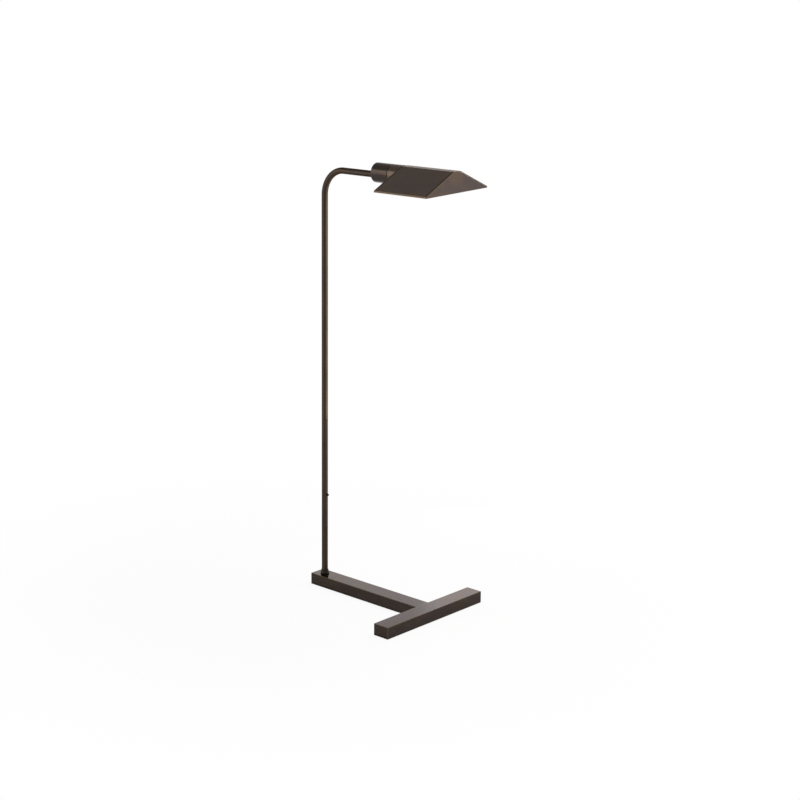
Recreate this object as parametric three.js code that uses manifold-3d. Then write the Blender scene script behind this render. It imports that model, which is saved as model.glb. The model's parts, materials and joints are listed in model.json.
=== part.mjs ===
// Pharmacy floor lamp: a T-shaped bar base, a bent tube pole that swivels in it, and a
// trough shade that turns about the head cylinder at the end of the pole's arm.
// Millimetres, +Z up, floor at Z = 0. The pole stands on the Z axis, the arm points along +X.
import * as THREE from 'three';
import { mergeVertices } from 'three/addons/utils/BufferGeometryUtils.js';
import Module from 'manifold-3d';

const wasm = await Module();
wasm.setup();

// ------------------------------------------------------------------ driving dimensions
const seatGap = 0.3; // between pieces that rest on or sit in each other
const runGap = 0.3; // running clearance of pieces that turn or slide
const cutMargin = 1; // how far a cutting solid passes through the face it opens

// base bars
const barWidth = 39.5;
const barHeight = 26;
const barArris = 0.6;
const crossLength = 304.8;
const stemLength = 317.5; // from its rear end to the back face of the cross bar
const poleSetback = 24; // from the stem's rear end to the pole axis
const lapHeight = 13;
const lapShoulder = 4; // the lap tongue is this much narrower than the stem on each side
const lapFrontWall = 8;

// lap screws, countersunk from below
const lapScrewRadius = 3;
const lapScrewHeadRadius = 5.6;
const lapScrewRim = 0.6;
const lapScrewLength = 20;
const lapScrewSpacing = 18;
const hexSocketRadius = 2.2;
const hexSocketDepth = 2;

// pads
const padStandOff = 1.5; // how far the pads hold the bars off the floor
const padThickness = 3.5;
const crossPadRadius = 10;
const crossPadInset = 20; // from the end of the cross bar to the pad's centre
const rearPadRadius = 16;

// pivot at the foot of the pole
const studRadius = 5;
const studBoreRadius = 3.2;
const studInTube = 22;
const studBelowNut = 1;
const recessRadius = 13;
const recessDepth = 10.5;
const collarRadius = 9.8;
const collarTopLand = 0.9; // the collar's wall at its upper edge
const collarBrim = 2.2; // the upright edge under the collar's flare
const collarHeight = 9.5;
const collarSpigotRadius = 8.6;
const spigotDepth = 4;
const thrustWasherThickness = 1.2;
const pivotWasherRadius = 9;
const pivotWasherThickness = 1.5;
const pivotNutFlats = 14;
const pivotNutThickness = 4.5;

// cord bushing in the stem's rear end
const cordHoleHeight = 8; // above the underside of the stem
const bushingRadius = 4.2;
const bushingBoreRadius = 2.8;
const bushingLength = 7;
const bushingFlangeRadius = 5.6;
const bushingFlange = 1.2;

// pole tube
const tubeRadius = 6.9;
const tubeWall = 1.1;
const bendRadius = 56;
const armHeight = 942.5; // arm axis above the floor
const poleJoint = 389.5; // height of the joint between the pole's two lengths of tube
const couplingHalf = 15; // how far the coupling reaches into each of them

// push-button switch in the pole
const switchHeight = 214.5;
const bezelRadius = 3.1;
const bezelProud = 1.7;
const buttonRadius = 1.9;
const buttonProud = 5.7;
const buttonTravel = 2;
const buttonSkirt = 0.7; // the wider inner end that keeps the button in
const buttonSkirtLength = 1;
const switchBodyWall = 0.8;
const switchBodyFloor = 1.2;

// head cylinder, measured along the arm from the pole axis
const headWall = 1.5;
const headEdge = 0.7; // rounding of the cylinder's rear rim
const capRear = 153;
const capLength = 45;
const capEntryDrop = 4.5; // the arm enters below the middle of the cap
const nippleRadius = 5;
const nippleBoreRadius = 3.2;
const armNippleInTube = 16;
const armNippleInCap = 7;
const armNutFlats = 14;
const armNutThickness = 4;
const bulkheadThickness = 3;
const bulkheadInset = 1.2; // from the cap's mouth to the bulkhead's front face
const bulkheadLedge = 0.8;
const seamWasherThickness = 1;
const seamWasherInset = 0.8; // the seam washer lies this much below the cylinder's surface
const housingFloor = 3;
const springWasherThickness = 0.8;
const springWasherRadius = 9;
const headNutFlats = 14;
const headNutThickness = 2.6;

// shade
const shadeRear = 230;
const shadeLength = 141.7;
const shadeHalfWidth = 94;
const ridgeHalfWidth = 10; // half of the flat strip along the shade's top
const shadeStance = 2; // degrees that the shade stands turned about the head axis, its left side up
const shadeDrop = 23.5; // from the head axis down to the shade's lower edge
const ridgeDrop = 0.8; // from the top of the head cylinder down to the ridge
const shadeWall = 1.5;
const shadeLip = 3.5;
const gableInset = 0.5;

// lampholder
const holderFlange = 1.2; // step behind the rear gable
const holderFlangeThickness = 3;
const holderBehindGable = 21;
const holderInShade = 9;
const holderWall = 1.9;
const holderFloor = 4.5;
const shadeRingWall = 2;
const shadeRingThickness = 5;
const shellThickness = 0.5;
const contactRadius = 3.5;
const contactThickness = 0.6;
const terminalRadius = 2;
const terminalHead = 0.9;
const terminalShank = 3;
const terminalShankRadius = 1.2;
const terminalCircle = 12;

// tubular bulb
const bulbCapRadius = 13.1;
const threadGap = 0.4; // between the bulb's cap and the screw shell
const bulbCapLength = 22;
const bulbCapWall = 0.5;
const bulbSkirt = 3; // how far the insulator tapers behind the cap
const bulbTipRadius = 4.5;
const bulbTipHeight = 1.6;
const bulbGlassRadius = 15.2;
const bulbGlassLength = 108;
const bulbGlassWall = 1;
const bulbShoulder = 12;

// flex inside the pole
const leadRadius = 1.7;
const leadSway = 25; // length over which the flex moves aside for the switch

// facets
const fineSides = 40;
const midSides = 28;
const smallSides = 16;
const bendSteps = 15;
const leadSides = 8;
const tubeSides = 24;
const roundSteps = 5;

// ------------------------------------------------------------------ derived places
const barBottom = padStandOff;
const barTop = barBottom + barHeight;
const stemRear = -poleSetback;
const crossBack = stemRear + stemLength;
const tongueFront = crossBack + barWidth - lapFrontWall;
const tongueHalf = barWidth / 2 - lapShoulder;
const padTop = padThickness;
const padPocketRoof = padTop + seatGap;
const recessRoof = padPocketRoof + recessDepth;
const spigotFloor = barTop - spigotDepth;
const tubeFoot = spigotFloor + seatGap + thrustWasherThickness + runGap;
const tubeBoreRadius = tubeRadius - tubeWall;
const pivotWasherTop = recessRoof - runGap;
const pivotNutTop = pivotWasherTop - pivotWasherThickness - seatGap;
const studFoot = pivotNutTop - pivotNutThickness - studBelowNut;
const bendFoot = armHeight - bendRadius;
const shellRadius = bulbCapRadius + threadGap + shellThickness;
const holderBoreRadius = shellRadius + seatGap;
const holderRadius = holderBoreRadius + holderWall;
const shadeRingRadius = holderRadius + seatGap + shadeRingWall;
const ridgeRise = shadeRingRadius + seatGap + shadeWall; // ridge above the head axis
const headRadius = ridgeRise + ridgeDrop;
const headHeight = armHeight + capEntryDrop;
const capFront = capRear + capLength;
const seamWasherRear = capFront + runGap;
const housingRear = seamWasherRear + seamWasherThickness + runGap;
const housingFront = shadeRear - seatGap;
const headBoreRadius = headRadius - headWall;
const bulkheadRadius = headBoreRadius - seatGap;
const bulkheadFront = capFront - bulkheadInset;
const bulkheadRear = bulkheadFront - bulkheadThickness;
const frontWasherRear = housingRear + housingFloor + runGap;
const frontNutRear = frontWasherRear + springWasherThickness + seatGap;
const headNippleFront = frontNutRear + headNutThickness;
const rearNutFront = bulkheadRear - seatGap;
const headNippleRear = rearNutFront - headNutThickness;
const shadeFront = shadeRear + shadeLength;
const eaveHeight = shadeLip - shadeDrop; // where the slopes meet the upright lips, from the head axis
const rearGableFront = shadeRear + gableInset + shadeWall;
const holderRear = shadeRear - holderBehindGable;
const holderFront = shadeRear + holderInShade;
const holderFloorFront = holderRear + holderFloor;
const contactFront = holderFloorFront + seatGap + contactThickness;
const bulbTipRear = contactFront + seatGap;
const bulbSkirtRear = bulbTipRear + bulbTipHeight;
const bulbCapRear = bulbSkirtRear + bulbSkirt + seatGap;
const bulbCapFront = bulbCapRear + bulbCapLength;

// ------------------------------------------------------------------ finishes
function finish(color, roughness, metalness) {
  return new THREE.MeshStandardMaterial({ color, roughness, metalness });
}

const bronze = finish(0x483f39, 0.42, 0.85);
const bronzeDark = finish(0x2c2623, 0.5, 0.8);
const steel = finish(0x8f8d89, 0.4, 1);
const brass = finish(0xb08d57, 0.35, 1);
const rubber = finish(0x1b1a19, 0.9, 0);
const phenolic = finish(0x1f1c1a, 0.5, 0);
const frosted = finish(0xf1eee6, 0.35, 0);
const flex = finish(0x2a2827, 0.7, 0);

// ------------------------------------------------------------------ shape helpers
/** A closed geometry as a solid that can be joined and cut. */
function solid(geometry) {
  const bare = geometry.clone();
  bare.deleteAttribute('normal');
  bare.deleteAttribute('uv');
  const merged = mergeVertices(bare, 1e-4);
  const corners = merged.index.array;
  const kept = [];
  for (let i = 0; i < corners.length; i += 3) {
    const [a, b, c] = [corners[i], corners[i + 1], corners[i + 2]];
    if (a !== b && b !== c && c !== a) kept.push(a, b, c);
  }
  const mesh = new wasm.Mesh({
    numProp: 3,
    vertProperties: Float32Array.from(merged.attributes.position.array),
    triVerts: Uint32Array.from(kept),
  });
  return new wasm.Manifold(mesh);
}

/** The geometry of a joined or cut solid. */
function geometryOf(body) {
  const mesh = body.getMesh();
  const geometry = new THREE.BufferGeometry();
  geometry.setAttribute('position', new THREE.BufferAttribute(mesh.vertProperties, 3));
  geometry.setIndex(new THREE.BufferAttribute(mesh.triVerts, 1));
  geometry.computeVertexNormals();
  return geometry;
}

/** One solid with others taken away from it. */
function cut(geometry, ...tools) {
  return geometryOf(tools.reduce((body, tool) => body.subtract(solid(tool)), solid(geometry)));
}

/** A profile of [radius, height] points turned about the Z axis. */
function turned(profile, sides) {
  const points = profile.map(([radius, height]) => new THREE.Vector2(radius, height));
  return new THREE.LatheGeometry(points, sides).rotateX(Math.PI / 2);
}

/** A disc or rod on the Z axis. */
function disc(radius, from, to, sides) {
  return turned([[0, from], [radius, from], [radius, to], [0, to]], sides);
}

/** A ring or sleeve on the Z axis. */
function ring(inner, outer, from, to, sides) {
  return turned([[inner, from], [outer, from], [outer, to], [inner, to], [inner, from]], sides);
}

/** A box between two corners. */
function block(low, high) {
  const [x, y, z] = high.map((value, i) => value - low[i]);
  const [cx, cy, cz] = high.map((value, i) => (value + low[i]) / 2);
  return new THREE.BoxGeometry(x, y, z).translate(cx, cy, cz);
}

/** The corners of a regular polygon about the origin. */
function polygon(radius, sides) {
  return Array.from({ length: sides }, (_, i) => {
    const angle = (2 * Math.PI * i) / sides;
    return new THREE.Vector2(radius * Math.cos(angle), radius * Math.sin(angle));
  });
}

/** An outline raised along Z, with one round hole where a radius is given. */
function plate(outline, hole, holeSides, from, to) {
  const shape = new THREE.Shape(outline);
  if (hole > 0) shape.holes.push(new THREE.Path(polygon(hole, holeSides).reverse()));
  return new THREE.ExtrudeGeometry(shape, { depth: to - from, bevelEnabled: false }).translate(0, 0, from);
}

/** A hexagonal nut with a round hole, its axis on Z. */
function nut(flats, bore, from, to) {
  return plate(polygon(flats / Math.sqrt(3), 6), bore, smallSides, from, to);
}

/** Points of a quarter round from a flat end to a cylinder, as [radius, height]. */
function quarterRound(radius, round, end, direction) {
  const points = [];
  for (let i = 0; i <= roundSteps; i += 1) {
    const angle = (i / roundSteps) * (Math.PI / 2);
    points.push([radius - round + round * Math.sin(angle), end + direction * round * (1 - Math.cos(angle))]);
  }
  return points;
}

/** A path of [curve, steps] runs, with its steps spread run by run: straight runs take few of them. */
class SteppedPath extends THREE.Curve {
  constructor(runs) {
    super();
    this.runs = runs;
  }

  total() {
    return this.runs.reduce((sum, [, steps]) => sum + steps, 0);
  }

  locate(u) {
    let left = u * this.total();
    let i = 0;
    while (i < this.runs.length - 1 && left > this.runs[i][1]) {
      left -= this.runs[i][1];
      i += 1;
    }
    const [curve, steps] = this.runs[i];
    return [curve, left / steps];
  }

  getPointAt(u) {
    const [curve, t] = this.locate(u);
    return curve.getPoint(t);
  }

  getTangentAt(u) {
    const [curve, t] = this.locate(u);
    return curve.getTangent(t);
  }
}

/** A quarter bend in the XZ plane, from upright to level. */
class QuarterBend extends THREE.Curve {
  constructor(radius, top) {
    super();
    this.radius = radius;
    this.top = top;
  }

  getPoint(t) {
    const angle = (t * Math.PI) / 2;
    const x = this.radius * (1 - Math.cos(angle));
    const z = this.top - this.radius * (1 - Math.sin(angle));
    return new THREE.Vector3(x, 0, z);
  }

  getTangent(t) {
    const angle = (t * Math.PI) / 2;
    return new THREE.Vector3(Math.sin(angle), 0, Math.cos(angle));
  }
}

/** A round section, hollow where a bore is given, swept along a path. */
function swept(path, radius, bore, sides) {
  const shape = new THREE.Shape(polygon(radius, sides));
  if (bore > 0) shape.holes.push(new THREE.Path(polygon(bore, sides).reverse()));
  return new THREE.ExtrudeGeometry(shape, { extrudePath: path, steps: path.total(), bevelEnabled: false });
}

// ------------------------------------------------------------------ base
/** A bar along X with its four long edges chamfered. */
function bar(length) {
  const half = barWidth / 2;
  const outline = new THREE.Shape();
  outline.moveTo(-half + barArris, 0);
  outline.lineTo(half - barArris, 0);
  outline.lineTo(half, barArris);
  outline.lineTo(half, barHeight - barArris);
  outline.lineTo(half - barArris, barHeight);
  outline.lineTo(-half + barArris, barHeight);
  outline.lineTo(-half, barHeight - barArris);
  outline.lineTo(-half, barArris);
  outline.closePath();
  const geometry = new THREE.ExtrudeGeometry(outline, { depth: length, bevelEnabled: false });
  return geometry.rotateX(Math.PI / 2).rotateZ(Math.PI / 2).translate(0, 0, barBottom);
}

/** Where the lap screws stand. */
function lapScrewPlaces() {
  const x = (crossBack + tongueFront) / 2;
  return [-1, 1].map((side) => [x, (side * lapScrewSpacing) / 2, barBottom]);
}

/** The countersunk shape of a lap screw, or of its hole when grown. */
function lapScrewProfile(grow, from, to) {
  const cone = lapScrewHeadRadius - lapScrewRadius;
  return [
    [0, from],
    [lapScrewHeadRadius + grow, from],
    [lapScrewHeadRadius + grow, lapScrewRim + seatGap],
    [lapScrewRadius + grow, lapScrewRim + seatGap + cone],
    [lapScrewRadius + grow, to],
    [0, to],
  ];
}

function lapScrew() {
  const blank = turned(lapScrewProfile(0, seatGap, lapScrewLength), smallSides);
  const socket = new THREE.CylinderGeometry(hexSocketRadius, hexSocketRadius, 2 * hexSocketDepth, 6);
  return cut(blank, socket.rotateX(Math.PI / 2).translate(0, 0, seatGap));
}

function stemBar() {
  const blank = bar(crossBack - seatGap - stemRear).translate(stemRear, 0, 0);
  const tongue = block(
    [crossBack - barWidth / 2, -tongueHalf, barBottom],
    [tongueFront, tongueHalf, barBottom + lapHeight],
  );
  const bushingHole = disc(bushingRadius + seatGap, 0, poleSetback, smallSides);
  bushingHole.rotateY(Math.PI / 2).translate(stemRear - cutMargin, 0, barBottom + cordHoleHeight);
  const screwHoles = lapScrewPlaces().map(([x, y, z]) => {
    const profile = lapScrewProfile(seatGap, -cutMargin, lapHeight + cutMargin);
    return turned(profile, smallSides).translate(x, y, z);
  });
  const tools = [
    disc(studRadius + runGap, barBottom, barTop + cutMargin, midSides),
    disc(collarSpigotRadius + seatGap, spigotFloor, barTop + cutMargin, midSides),
    disc(rearPadRadius + seatGap, barBottom - cutMargin, padPocketRoof, midSides),
    disc(recessRadius, barBottom, recessRoof, midSides),
    bushingHole,
    ...screwHoles,
  ];
  return cut(geometryOf(solid(blank).add(solid(tongue))), ...tools);
}

/** Centres of the cross bar's two pads. */
function crossPadPlaces() {
  const reach = crossLength / 2 - crossPadInset;
  return [-1, 1].map((side) => [crossBack + barWidth / 2, side * reach, 0]);
}

function crossBar() {
  const blank = bar(crossLength).rotateZ(Math.PI / 2);
  blank.translate(crossBack + barWidth / 2, -crossLength / 2, 0);
  const notch = block(
    [crossBack - cutMargin, -tongueHalf - seatGap, barBottom - cutMargin],
    [tongueFront + seatGap, tongueHalf + seatGap, barBottom + lapHeight + seatGap],
  );
  const threads = lapScrewPlaces().map(([x, y, z]) => (
    disc(lapScrewRadius + seatGap, lapHeight, lapScrewLength + seatGap, smallSides).translate(x, y, z)
  ));
  const pockets = crossPadPlaces().map(([x, y]) => (
    disc(crossPadRadius + seatGap, barBottom - cutMargin, padPocketRoof, midSides).translate(x, y, 0)
  ));
  return cut(blank, notch, ...threads, ...pockets);
}

/** A pad standing on the floor. */
function pad(radius) {
  return disc(radius, 0, padTop, midSides);
}

/** The flared ferrule that the pole turns in. */
function footCollar() {
  const bore = tubeRadius + runGap;
  const land = bore + collarTopLand;
  const seat = barTop + seatGap;
  const brim = seat + collarBrim;
  const flare = [];
  for (let i = 0; i <= roundSteps; i += 1) {
    const rise = i / roundSteps;
    flare.push([land + (collarRadius - land) * (1 - rise) ** 2, brim + (collarHeight - collarBrim) * rise]);
  }
  const profile = [
    [bore, spigotFloor + seatGap],
    [collarSpigotRadius, spigotFloor + seatGap],
    [collarSpigotRadius, seat],
    [collarRadius, seat],
    ...flare,
    [bore, seat + collarHeight],
    [bore, spigotFloor + seatGap],
  ];
  return turned(profile, midSides);
}

function thrustWasher() {
  const from = spigotFloor + seatGap;
  return ring(studRadius + runGap, tubeRadius, from, from + thrustWasherThickness, smallSides);
}

/** The grommet in the stem's rear end, modelled along Z from its outer face inwards. */
function cordBushing() {
  const profile = [
    [bushingBoreRadius, -bushingFlange - seatGap],
    [bushingFlangeRadius, -bushingFlange - seatGap],
    [bushingFlangeRadius, -seatGap],
    [bushingRadius, -seatGap],
    [bushingRadius, bushingLength],
    [bushingBoreRadius, bushingLength],
    [bushingBoreRadius, -bushingFlange - seatGap],
  ];
  return turned(profile, smallSides);
}

// ------------------------------------------------------------------ pole
/** The pole's centre line: the runs of its leg, the bend, and the arm up to a given end. */
function polePath(leg, end) {
  const elbow = new THREE.Vector3(bendRadius, 0, armHeight);
  return new SteppedPath([
    ...leg,
    [new QuarterBend(bendRadius, armHeight), bendSteps],
    [new THREE.LineCurve3(elbow, new THREE.Vector3(end, 0, armHeight)), 1],
  ]);
}

/** The lower length of the pole, up to the joint, with the hole for the switch. */
function poleLower() {
  const top = new THREE.Vector3(0, 0, poleJoint - seatGap);
  const leg = new THREE.LineCurve3(new THREE.Vector3(0, 0, tubeFoot), top);
  const tube = swept(new SteppedPath([[leg, 1]]), tubeRadius, tubeBoreRadius, tubeSides);
  const hole = disc(bezelRadius + seatGap, 0, tubeRadius + cutMargin, smallSides);
  return cut(tube, hole.rotateY(Math.PI / 2).translate(0, 0, switchHeight));
}

/** The upper length of the pole, which bends over into the arm. */
function poleUpper() {
  const leg = new THREE.LineCurve3(new THREE.Vector3(0, 0, poleJoint), new THREE.Vector3(0, 0, bendFoot));
  return swept(polePath([[leg, 1]], capRear - seatGap), tubeRadius, tubeBoreRadius, tubeSides);
}

/** The threaded coupling inside the joint. */
function poleCoupling() {
  const [from, to] = [poleJoint - couplingHalf, poleJoint + couplingHalf];
  return ring(studBoreRadius, tubeBoreRadius - seatGap, from, to, smallSides);
}

/** The hollow stud fixed in the pole's foot, which passes down through the stem. */
function footStud() {
  const upper = tubeBoreRadius - seatGap;
  const profile = [
    [studBoreRadius, studFoot],
    [studRadius, studFoot],
    [studRadius, tubeFoot],
    [upper, tubeFoot],
    [upper, tubeFoot + studInTube],
    [studBoreRadius, tubeFoot + studInTube],
    [studBoreRadius, studFoot],
  ];
  return turned(profile, smallSides);
}

function pivotWasher() {
  const to = pivotWasherTop;
  return ring(studRadius + seatGap, pivotWasherRadius, to - pivotWasherThickness, to, smallSides);
}

function pivotNut() {
  return nut(pivotNutFlats, studRadius + seatGap, pivotNutTop - pivotNutThickness, pivotNutTop);
}

/** Inner radius of the bezel and switch body, which the button slides in. */
const switchBoreRadius = buttonRadius + runGap;
const skirtRadius = buttonRadius + buttonSkirt;
const switchCanRadius = skirtRadius + runGap + switchBodyWall;
const bezelFoot = tubeBoreRadius - seatGap; // the bezel reaches just inside the tube's wall

/** The threaded bezel, modelled along Z outwards from the pole's axis. */
function switchBezel() {
  return ring(switchBoreRadius, bezelRadius, bezelFoot, tubeRadius + bezelProud, smallSides);
}

/** Distance from the pole axis to the button's inner end at rest. */
const buttonFoot = bezelFoot - runGap - buttonSkirtLength;

/** The can behind the bezel, closed at its inner end. */
function switchCan() {
  const mouth = bezelFoot - seatGap;
  const floor = buttonFoot - buttonTravel - runGap;
  const bore = skirtRadius + runGap;
  const profile = [
    [0, floor - switchBodyFloor],
    [switchCanRadius, floor - switchBodyFloor],
    [switchCanRadius, mouth],
    [bore, mouth],
    [bore, floor],
    [0, floor],
  ];
  const room = disc(tubeBoreRadius - seatGap, -tubeRadius, tubeRadius, midSides).rotateY(Math.PI / 2);
  return geometryOf(solid(turned(profile, smallSides)).intersect(solid(room)));
}

function switchButton() {
  const tip = tubeRadius + buttonProud;
  const round = buttonRadius / 2;
  const crown = quarterRound(buttonRadius, round, tip, -1).reverse();
  const profile = [
    [0, buttonFoot],
    [skirtRadius, buttonFoot],
    [skirtRadius, buttonFoot + buttonSkirtLength],
    [buttonRadius, buttonFoot + buttonSkirtLength],
    ...crown,
    [0, tip],
  ];
  return turned(profile, smallSides);
}

// ------------------------------------------------------------------ head, modelled along Z from the pole axis
/** The cup at the end of the arm. */
function headCap() {
  const profile = [
    [0, capRear],
    ...quarterRound(headRadius, headEdge, capRear, 1),
    [headRadius, capFront],
    [headBoreRadius, capFront],
    [headBoreRadius, bulkheadRear],
    [headBoreRadius - bulkheadLedge, bulkheadRear - seatGap],
    [headBoreRadius - bulkheadLedge, capRear + headWall],
    [0, capRear + headWall],
  ];
  const entry = disc(nippleRadius + seatGap, capRear - cutMargin, capRear + headWall + cutMargin, smallSides);
  return cut(turned(profile, fineSides), entry.translate(capEntryDrop, 0, 0));
}

function armNipple() {
  const from = capRear - seatGap - armNippleInTube;
  return ring(nippleBoreRadius, nippleRadius, from, capRear + headWall + armNippleInCap, smallSides);
}

function armNut() {
  const from = capRear + headWall + seatGap;
  return nut(armNutFlats, nippleRadius + seatGap, from, from + armNutThickness);
}

function capBulkhead() {
  return ring(nippleRadius + seatGap, bulkheadRadius, bulkheadRear, bulkheadFront, midSides);
}

function headNipple() {
  return ring(nippleBoreRadius, nippleRadius, headNippleRear, headNippleFront, smallSides);
}

function headNut(from) {
  return nut(headNutFlats, nippleRadius + seatGap, from, from + headNutThickness);
}

function springWasher() {
  const to = frontWasherRear + springWasherThickness;
  return ring(nippleRadius + seatGap, springWasherRadius, frontWasherRear, to, smallSides);
}

function seamWasher() {
  const to = seamWasherRear + seamWasherThickness;
  return ring(nippleRadius + runGap, headRadius - seamWasherInset, seamWasherRear, to, fineSides);
}

function socketHousing() {
  const floorFront = housingRear + housingFloor;
  const profile = [
    [nippleRadius + runGap, housingRear],
    [headRadius, housingRear],
    [headRadius, housingFront],
    [headBoreRadius, housingFront],
    [headBoreRadius, floorFront],
    [nippleRadius + runGap, floorFront],
    [nippleRadius + runGap, housingRear],
  ];
  return turned(profile, fineSides);
}

// ------------------------------------------------------------------ shade
/** The slopes' angle from level, and the distance of their outer faces from the head axis. */
const slopeAngle = Math.atan2(ridgeRise - eaveHeight, shadeHalfWidth - ridgeHalfWidth);
const slopeDistance = shadeHalfWidth * Math.sin(slopeAngle) + eaveHeight * Math.cos(slopeAngle);

/** The right half of the shade's outline, from the ridge to the lower edge, as [side, height]. */
function halfOutline(inset) {
  const rise = ridgeRise - inset;
  const side = shadeHalfWidth - inset;
  const slope = slopeDistance - inset;
  const ridgeCorner = (slope - rise * Math.cos(slopeAngle)) / Math.sin(slopeAngle);
  const eave = (slope - side * Math.sin(slopeAngle)) / Math.cos(slopeAngle);
  return [[ridgeCorner, rise], [side, eave], [side, -shadeDrop]];
}

/** A section across the shade, anticlockwise. Up is local -X, the side is local Y. */
function section(points) {
  return points.map(([side, height]) => new THREE.Vector2(-height, side)).reverse();
}

/** The whole outline, from the left lower edge over the ridge to the right lower edge. */
function outlineOf(inset) {
  const half = halfOutline(inset);
  return [...half.map(([side, height]) => [-side, height]).reverse(), ...half];
}

/** The folded sheet: a flat strip along the top, a sloping panel on each side of it, and upright lips below. */
function shadeBody() {
  const outline = [...outlineOf(0), ...outlineOf(shadeWall).reverse()];
  return plate(section(outline), 0, 0, shadeRear, shadeFront);
}

/** An end plate that fits inside the folded sheet. */
function gable(from, hole) {
  return plate(section(outlineOf(shadeWall + seatGap)), hole, midSides, from, from + shadeWall);
}

// ------------------------------------------------------------------ lampholder and bulb
function lampholder() {
  const flange = holderRadius + holderFlange;
  const flangeFront = shadeRear + gableInset - seatGap;
  const profile = [
    [0, holderRear],
    [holderRadius, holderRear],
    [holderRadius, flangeFront - holderFlangeThickness],
    [flange, flangeFront - holderFlangeThickness],
    [flange, flangeFront],
    [holderRadius, flangeFront],
    [holderRadius, holderFront],
    [holderBoreRadius, holderFront],
    [holderBoreRadius, holderFloorFront],
    [0, holderFloorFront],
  ];
  const shankBore = terminalShankRadius + seatGap;
  const shankEnd = terminalShank + seatGap;
  const holes = terminalPlaces().map(([x, y]) => (
    disc(shankBore, -cutMargin, shankEnd, smallSides).translate(x, y, holderRear)
  ));
  return cut(turned(profile, midSides), ...holes);
}

/** Centres of the terminal screws on the lampholder's rear face. */
function terminalPlaces() {
  return [-1, 1].map((side) => [0, side * terminalCircle]);
}

/** A terminal screw, modelled along Z with its head behind the lampholder. */
function terminalScrew() {
  const profile = [
    [0, -terminalHead - seatGap],
    [terminalRadius, -terminalHead - seatGap],
    [terminalRadius, -seatGap],
    [terminalShankRadius, -seatGap],
    [terminalShankRadius, terminalShank],
    [0, terminalShank],
  ];
  return turned(profile, smallSides / 2);
}

function screwShell() {
  const from = holderFloorFront + seatGap;
  return ring(shellRadius - shellThickness, shellRadius, from, holderFront - seatGap, midSides);
}

function centreContact() {
  return disc(contactRadius, holderFloorFront + seatGap, contactFront, smallSides);
}

function shadeRing() {
  const from = rearGableFront + seatGap;
  return ring(holderRadius + seatGap, shadeRingRadius, from, from + shadeRingThickness, fineSides);
}

/** The bulb's metal cap, an open sleeve that holds the glass neck. */
function bulbCap() {
  return ring(bulbCapRadius - bulbCapWall, bulbCapRadius, bulbCapRear, bulbCapFront, midSides);
}

/** The insulating skirt behind the cap. */
function bulbInsulator() {
  const profile = [
    [0, bulbSkirtRear + seatGap],
    [bulbTipRadius, bulbSkirtRear + seatGap],
    [bulbCapRadius - bulbCapWall, bulbCapRear - seatGap],
    [0, bulbCapRear - seatGap],
  ];
  return turned(profile, midSides);
}

function bulbTip() {
  const profile = [
    [0, bulbTipRear],
    [bulbTipRadius / 2, bulbTipRear],
    [bulbTipRadius - seatGap, bulbSkirtRear],
    [0, bulbSkirtRear],
  ];
  return turned(profile, smallSides);
}

/** The glass: a neck inside the cap, a shoulder, a long tube and a domed end. */
function bulbGlass() {
  const neck = bulbCapRadius - bulbCapWall - seatGap;
  const mouth = bulbCapRear + bulbCapLength / 2;
  const shoulder = bulbCapFront + seatGap;
  const domeCentre = shoulder + bulbGlassLength - bulbGlassRadius;
  const skin = (inset) => {
    const dome = [];
    for (let i = 0; i <= roundSteps; i += 1) {
      const angle = (i / roundSteps) * (Math.PI / 2);
      const radius = bulbGlassRadius - inset;
      dome.push([i === roundSteps ? 0 : radius * Math.cos(angle), domeCentre + radius * Math.sin(angle)]);
    }
    const side = [bulbGlassRadius - inset, shoulder + bulbShoulder];
    return [[neck - inset, mouth], [neck - inset, shoulder], side, ...dome];
  };
  return turned([...skin(0), ...skin(bulbGlassWall).reverse(), [neck, mouth]], midSides);
}

/** The flex inside the pole, from the stem's recess to the head, passing behind the switch. */
function poleLead() {
  const aside = seatGap + leadRadius - tubeBoreRadius;
  const turns = [
    [0, studFoot],
    [0, switchHeight - 2 * leadSway],
    [aside, switchHeight - leadSway],
    [aside, switchHeight + leadSway],
    [0, switchHeight + 2 * leadSway],
    [0, bendFoot],
  ].map(([x, z]) => new THREE.Vector3(x, 0, z));
  const leg = turns.slice(1).map((point, i) => [new THREE.LineCurve3(turns[i], point), 1]);
  return swept(polePath(leg, capRear + headWall + armNippleInCap), leadRadius, 0, leadSides);
}

// ------------------------------------------------------------------ assembly
const lamp = new THREE.Group();
lamp.name = 'pharmacy_floor_lamp';

/** Puts a named mesh in a group. */
function add(group, name, geometry, material, place = [0, 0, 0]) {
  const mesh = new THREE.Mesh(geometry, material);
  mesh.name = name;
  mesh.position.set(...place);
  group.add(mesh);
  return mesh;
}

// base: its pieces stand in the lamp's own frame
add(lamp, 'stem_bar', stemBar(), bronze);
add(lamp, 'cross_bar', crossBar(), bronze);
lapScrewPlaces().forEach((place, i) => add(lamp, `lap_screw_${i + 1}`, lapScrew(), steel, place));
add(lamp, 'rear_pad', pad(rearPadRadius), rubber);
crossPadPlaces().forEach((place, i) => add(lamp, `cross_pad_${i + 1}`, pad(crossPadRadius), rubber, place));
add(lamp, 'foot_collar', footCollar(), bronzeDark);
add(lamp, 'thrust_washer', thrustWasher(), brass);
const bushingPlace = [stemRear, 0, barBottom + cordHoleHeight];
add(lamp, 'cord_bushing', cordBushing(), rubber, bushingPlace).rotation.y = Math.PI / 2;

// pole
add(lamp, 'pole_lower', poleLower(), bronze);
add(lamp, 'pole_upper', poleUpper(), bronze);
add(lamp, 'pole_coupling', poleCoupling(), steel);
add(lamp, 'foot_stud', footStud(), steel);
add(lamp, 'pivot_washer', pivotWasher(), steel);
add(lamp, 'pivot_nut', pivotNut(), steel);
add(lamp, 'pole_lead', poleLead(), flex);

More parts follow.
